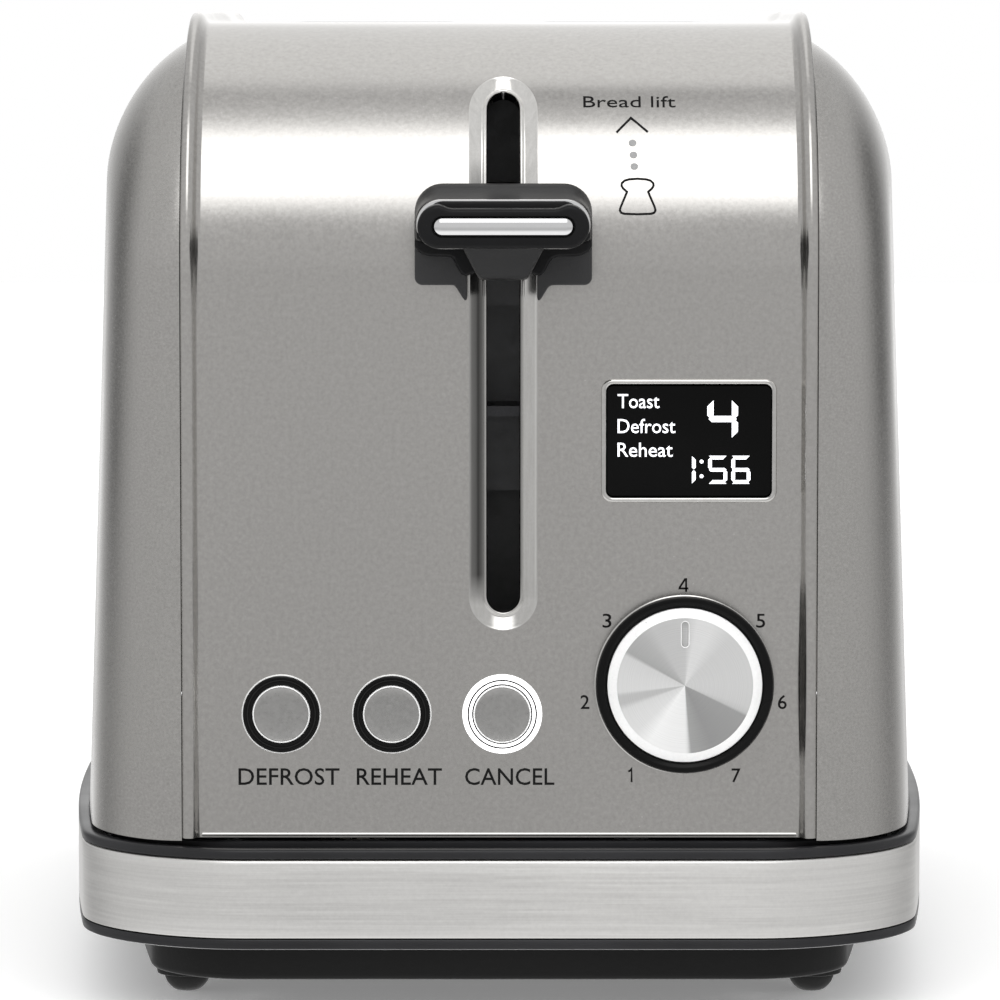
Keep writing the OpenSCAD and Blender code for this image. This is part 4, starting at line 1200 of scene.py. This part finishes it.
def figure(name, digit, x, z, w, h, t):
    """Seven-bar figure centred on (x, z), lit bars only."""
    gap = 0.2 * t
    side, tall, flat = w / 2 - t / 2, h / 2 - gap, w - 2 * gap
    bars = {"a": (x, z + h / 2 - t / 2, flat, False, "right", "right"),
        "b": (x - side, z + h / 4, tall, True, "both", "left"),
        "c": (x + side, z + h / 4, tall, True, "both", "right"),
        "d": (x, z, flat, False, "both", "both"), "e": (x - side, z - h / 4, tall, True, "left",
        "both"), "f": (x + side, z - h / 4, tall, True, "right", "both"),
        "g": (x, z - h / 2 + t / 2, flat, False, "left", "left")}
    for key in FIGURES[digit]:
        cx, cz, length, upright, starts, ends = bars[key]
        outline_mark(name + "_" + key, bar_shape(cx, cz, length, t, upright, starts, ends),
            segment_light)


def build_display_marks():
    for text, width, up in (("Toast", 8.1, 7.75), ("Defrost", 11.2, 2.9), ("Reheat", 10.7, -1.7)):
        text_mark("display_" + text.lower(), text, DISPLAY_X - 13.85 + width / 2, DISPLAY_Z + up,
            width, 2.69, 0.003, segment_light)
    figure("display_level", "4", DISPLAY_X + 6.5, DISPLAY_Z + 4.27, 5.95, 7.5, 1.2)
    for name, digit, across in (("minutes", "1", -0.55), ("tens", "5", 5.57),
            ("units", "6", 10.07)):
        figure("display_" + name, digit, DISPLAY_X + across, DISPLAY_Z - 5.6, 3.7, 5.45, 0.72)
    for i, up in enumerate((-4.0, -6.85)):
        outline_mark(f"display_colon_{i + 1}", circle(DISPLAY_X + 2.44, DISPLAY_Z + up, 0.38, 16),
            segment_light)


build_panel_marks()
build_display_marks()


# ---------------------------------------------------------------- floor, light and camera
def build_stage():
    mesh = bpy.data.meshes.new("floor")
    half = 3.0
    mesh.from_pydata([(-half, -half, 0), (half, -half, 0), (half, half, 0), (-half, half, 0)], [],
        [(0, 1, 2, 3)])
    floor = new_object("floor", mesh)
    material, b = new_material("pale_floor", Roughness=0.9, Emission_Strength=0.2)
    b.feed("Emission Color", (1, 1, 1, 1))
    path = b.add("ShaderNodeLightPath")
    b.feed("Base Color", b.tint(b.noise(b.coords(), 3.0), (0.88, 0.88, 0.88), (0.90, 0.90, 0.90)))
    clear = b.add("ShaderNodeBsdfTransparent")
    mix = b.add("ShaderNodeMixShader", {"Fac": path.outputs["Is Glossy Ray"]})
    b.tree.links.new(b.bsdf.outputs[0], mix.inputs[1])
    b.tree.links.new(clear.outputs[0], mix.inputs[2])
    b.tree.links.new(mix.outputs[0], b.nodes["Material Output"].inputs["Surface"])
    mesh.materials.append(material)


# brightness of the studio by angle, as (angle / 180, level)
TOP_BANDS = [(0.0, 0.62), (0.13, 0.62), (0.165, 1.5), (0.20, 2.6), (0.34, 2.6), (0.40, 0.85),
    (0.51, 0.46), (0.53, 1.05), (0.75, 1.05), (1.0, 1.0)]
SIDE_BANDS = [(0.0, 0.62), (0.60, 0.60), (0.66, 0.50), (0.70, 0.36), (0.735, 0.19), (0.78, 0.17),
    (0.82, 0.32), (0.86, 0.5), (0.90, 0.75), (0.94, 1.1), (1.0, 1.5)]
LOW_SIDE_BANDS = [(0.0, 0.62), (0.55, 0.61), (0.60, 0.55), (0.64, 0.50), (0.70, 0.41), (0.73, 0.40),
    (0.76, 0.46), (0.80, 0.60), (0.84, 0.85), (0.88, 1.1), (0.93, 1.3), (1.0, 1.4)]
PLAIN_LEVEL = 0.6


def build_world():
    """Plain soft studio: a broad soft light in front and above, pale surroundings."""
    world = bpy.data.worlds.new("studio")
    bpy.context.scene.world = world
    world.use_nodes = True
    b = Nodes(world)
    x, y, z = b.split(b.where("Generated"))
    # height angle in the YZ plane: 0 in front, 90 overhead, 180 behind
    ahead, aside = b.math("MULTIPLY", y, -1.0), b.math("ABSOLUTE", x)
    angle = b.math("DIVIDE", b.math("ARCTAN2", z, ahead), math.pi)
    # turn about Z: 0 in front, 1 behind
    turn = b.math("DIVIDE", b.math("ARCTAN2", aside, ahead), math.pi)
    top = b.ramp_of(angle, TOP_BANDS)
    # the lamp overhead is narrow: sheet that faces up and sideways mirrors the plain room
    lamp = b.ramp(aside, 0.14, 0.38, 1.0, 0.0)
    ray = b.add("ShaderNodeLightPath").outputs
    top = b.between(top, b.between(PLAIN_LEVEL, top, lamp), ray["Is Glossy Ray"])
    low = b.ramp(z, -0.125, -0.045, 1.0, 0.0)
    bands = b.between(b.ramp_of(turn, SIDE_BANDS), b.ramp_of(turn, LOW_SIDE_BANDS), low)
    dimmed = b.math("MULTIPLY", b.ramp(z, -0.16, 0.0, 0.82, 1.0), b.ramp(z, -0.6, -0.3, 1.9, 1.0))
    level = b.math("MULTIPLY", bands, dimmed)
    blend = b.add("ShaderNodeMapRange", {"Value": z, "From Min": 0.15, "From Max": 0.45},
        interpolation_type="SMOOTHSTEP").outputs["Result"]
    studio = b.math("ADD", b.math("MULTIPLY", top, blend),
        b.math("MULTIPLY", level, b.math("SUBTRACT", 1.0, blend)))
    seen = ray["Is Camera Ray"]
    strength = b.math("ADD", b.math("MULTIPLY", studio, b.math("SUBTRACT", 1.0, seen)), seen)
    background = b.nodes["Background"]
    background.inputs["Color"].default_value = (1, 1, 1, 1)
    b.put(background.inputs["Strength"], strength)


build_stage()
build_world()

CAMERA_BACK, CAMERA_HEIGHT, CAMERA_SHIFT = 1100, 194.5, 0.16
CAMERA_PITCH = 4.797     # degrees below level
camera_data = bpy.data.cameras.new("camera")
camera_data.sensor_width = 36
camera_data.lens = 205.9
camera_data.clip_start, camera_data.clip_end = 0.05, 30
camera = new_object("camera", camera_data)
camera.location = (CAMERA_SHIFT * MM, (MID_Y - HALF_L - CAMERA_BACK) * MM, CAMERA_HEIGHT * MM)
camera.rotation_euler = (math.radians(90 - CAMERA_PITCH), 0, 0)
bpy.context.scene.camera = camera

scene = bpy.context.scene
scene.view_settings.view_transform = "Standard"
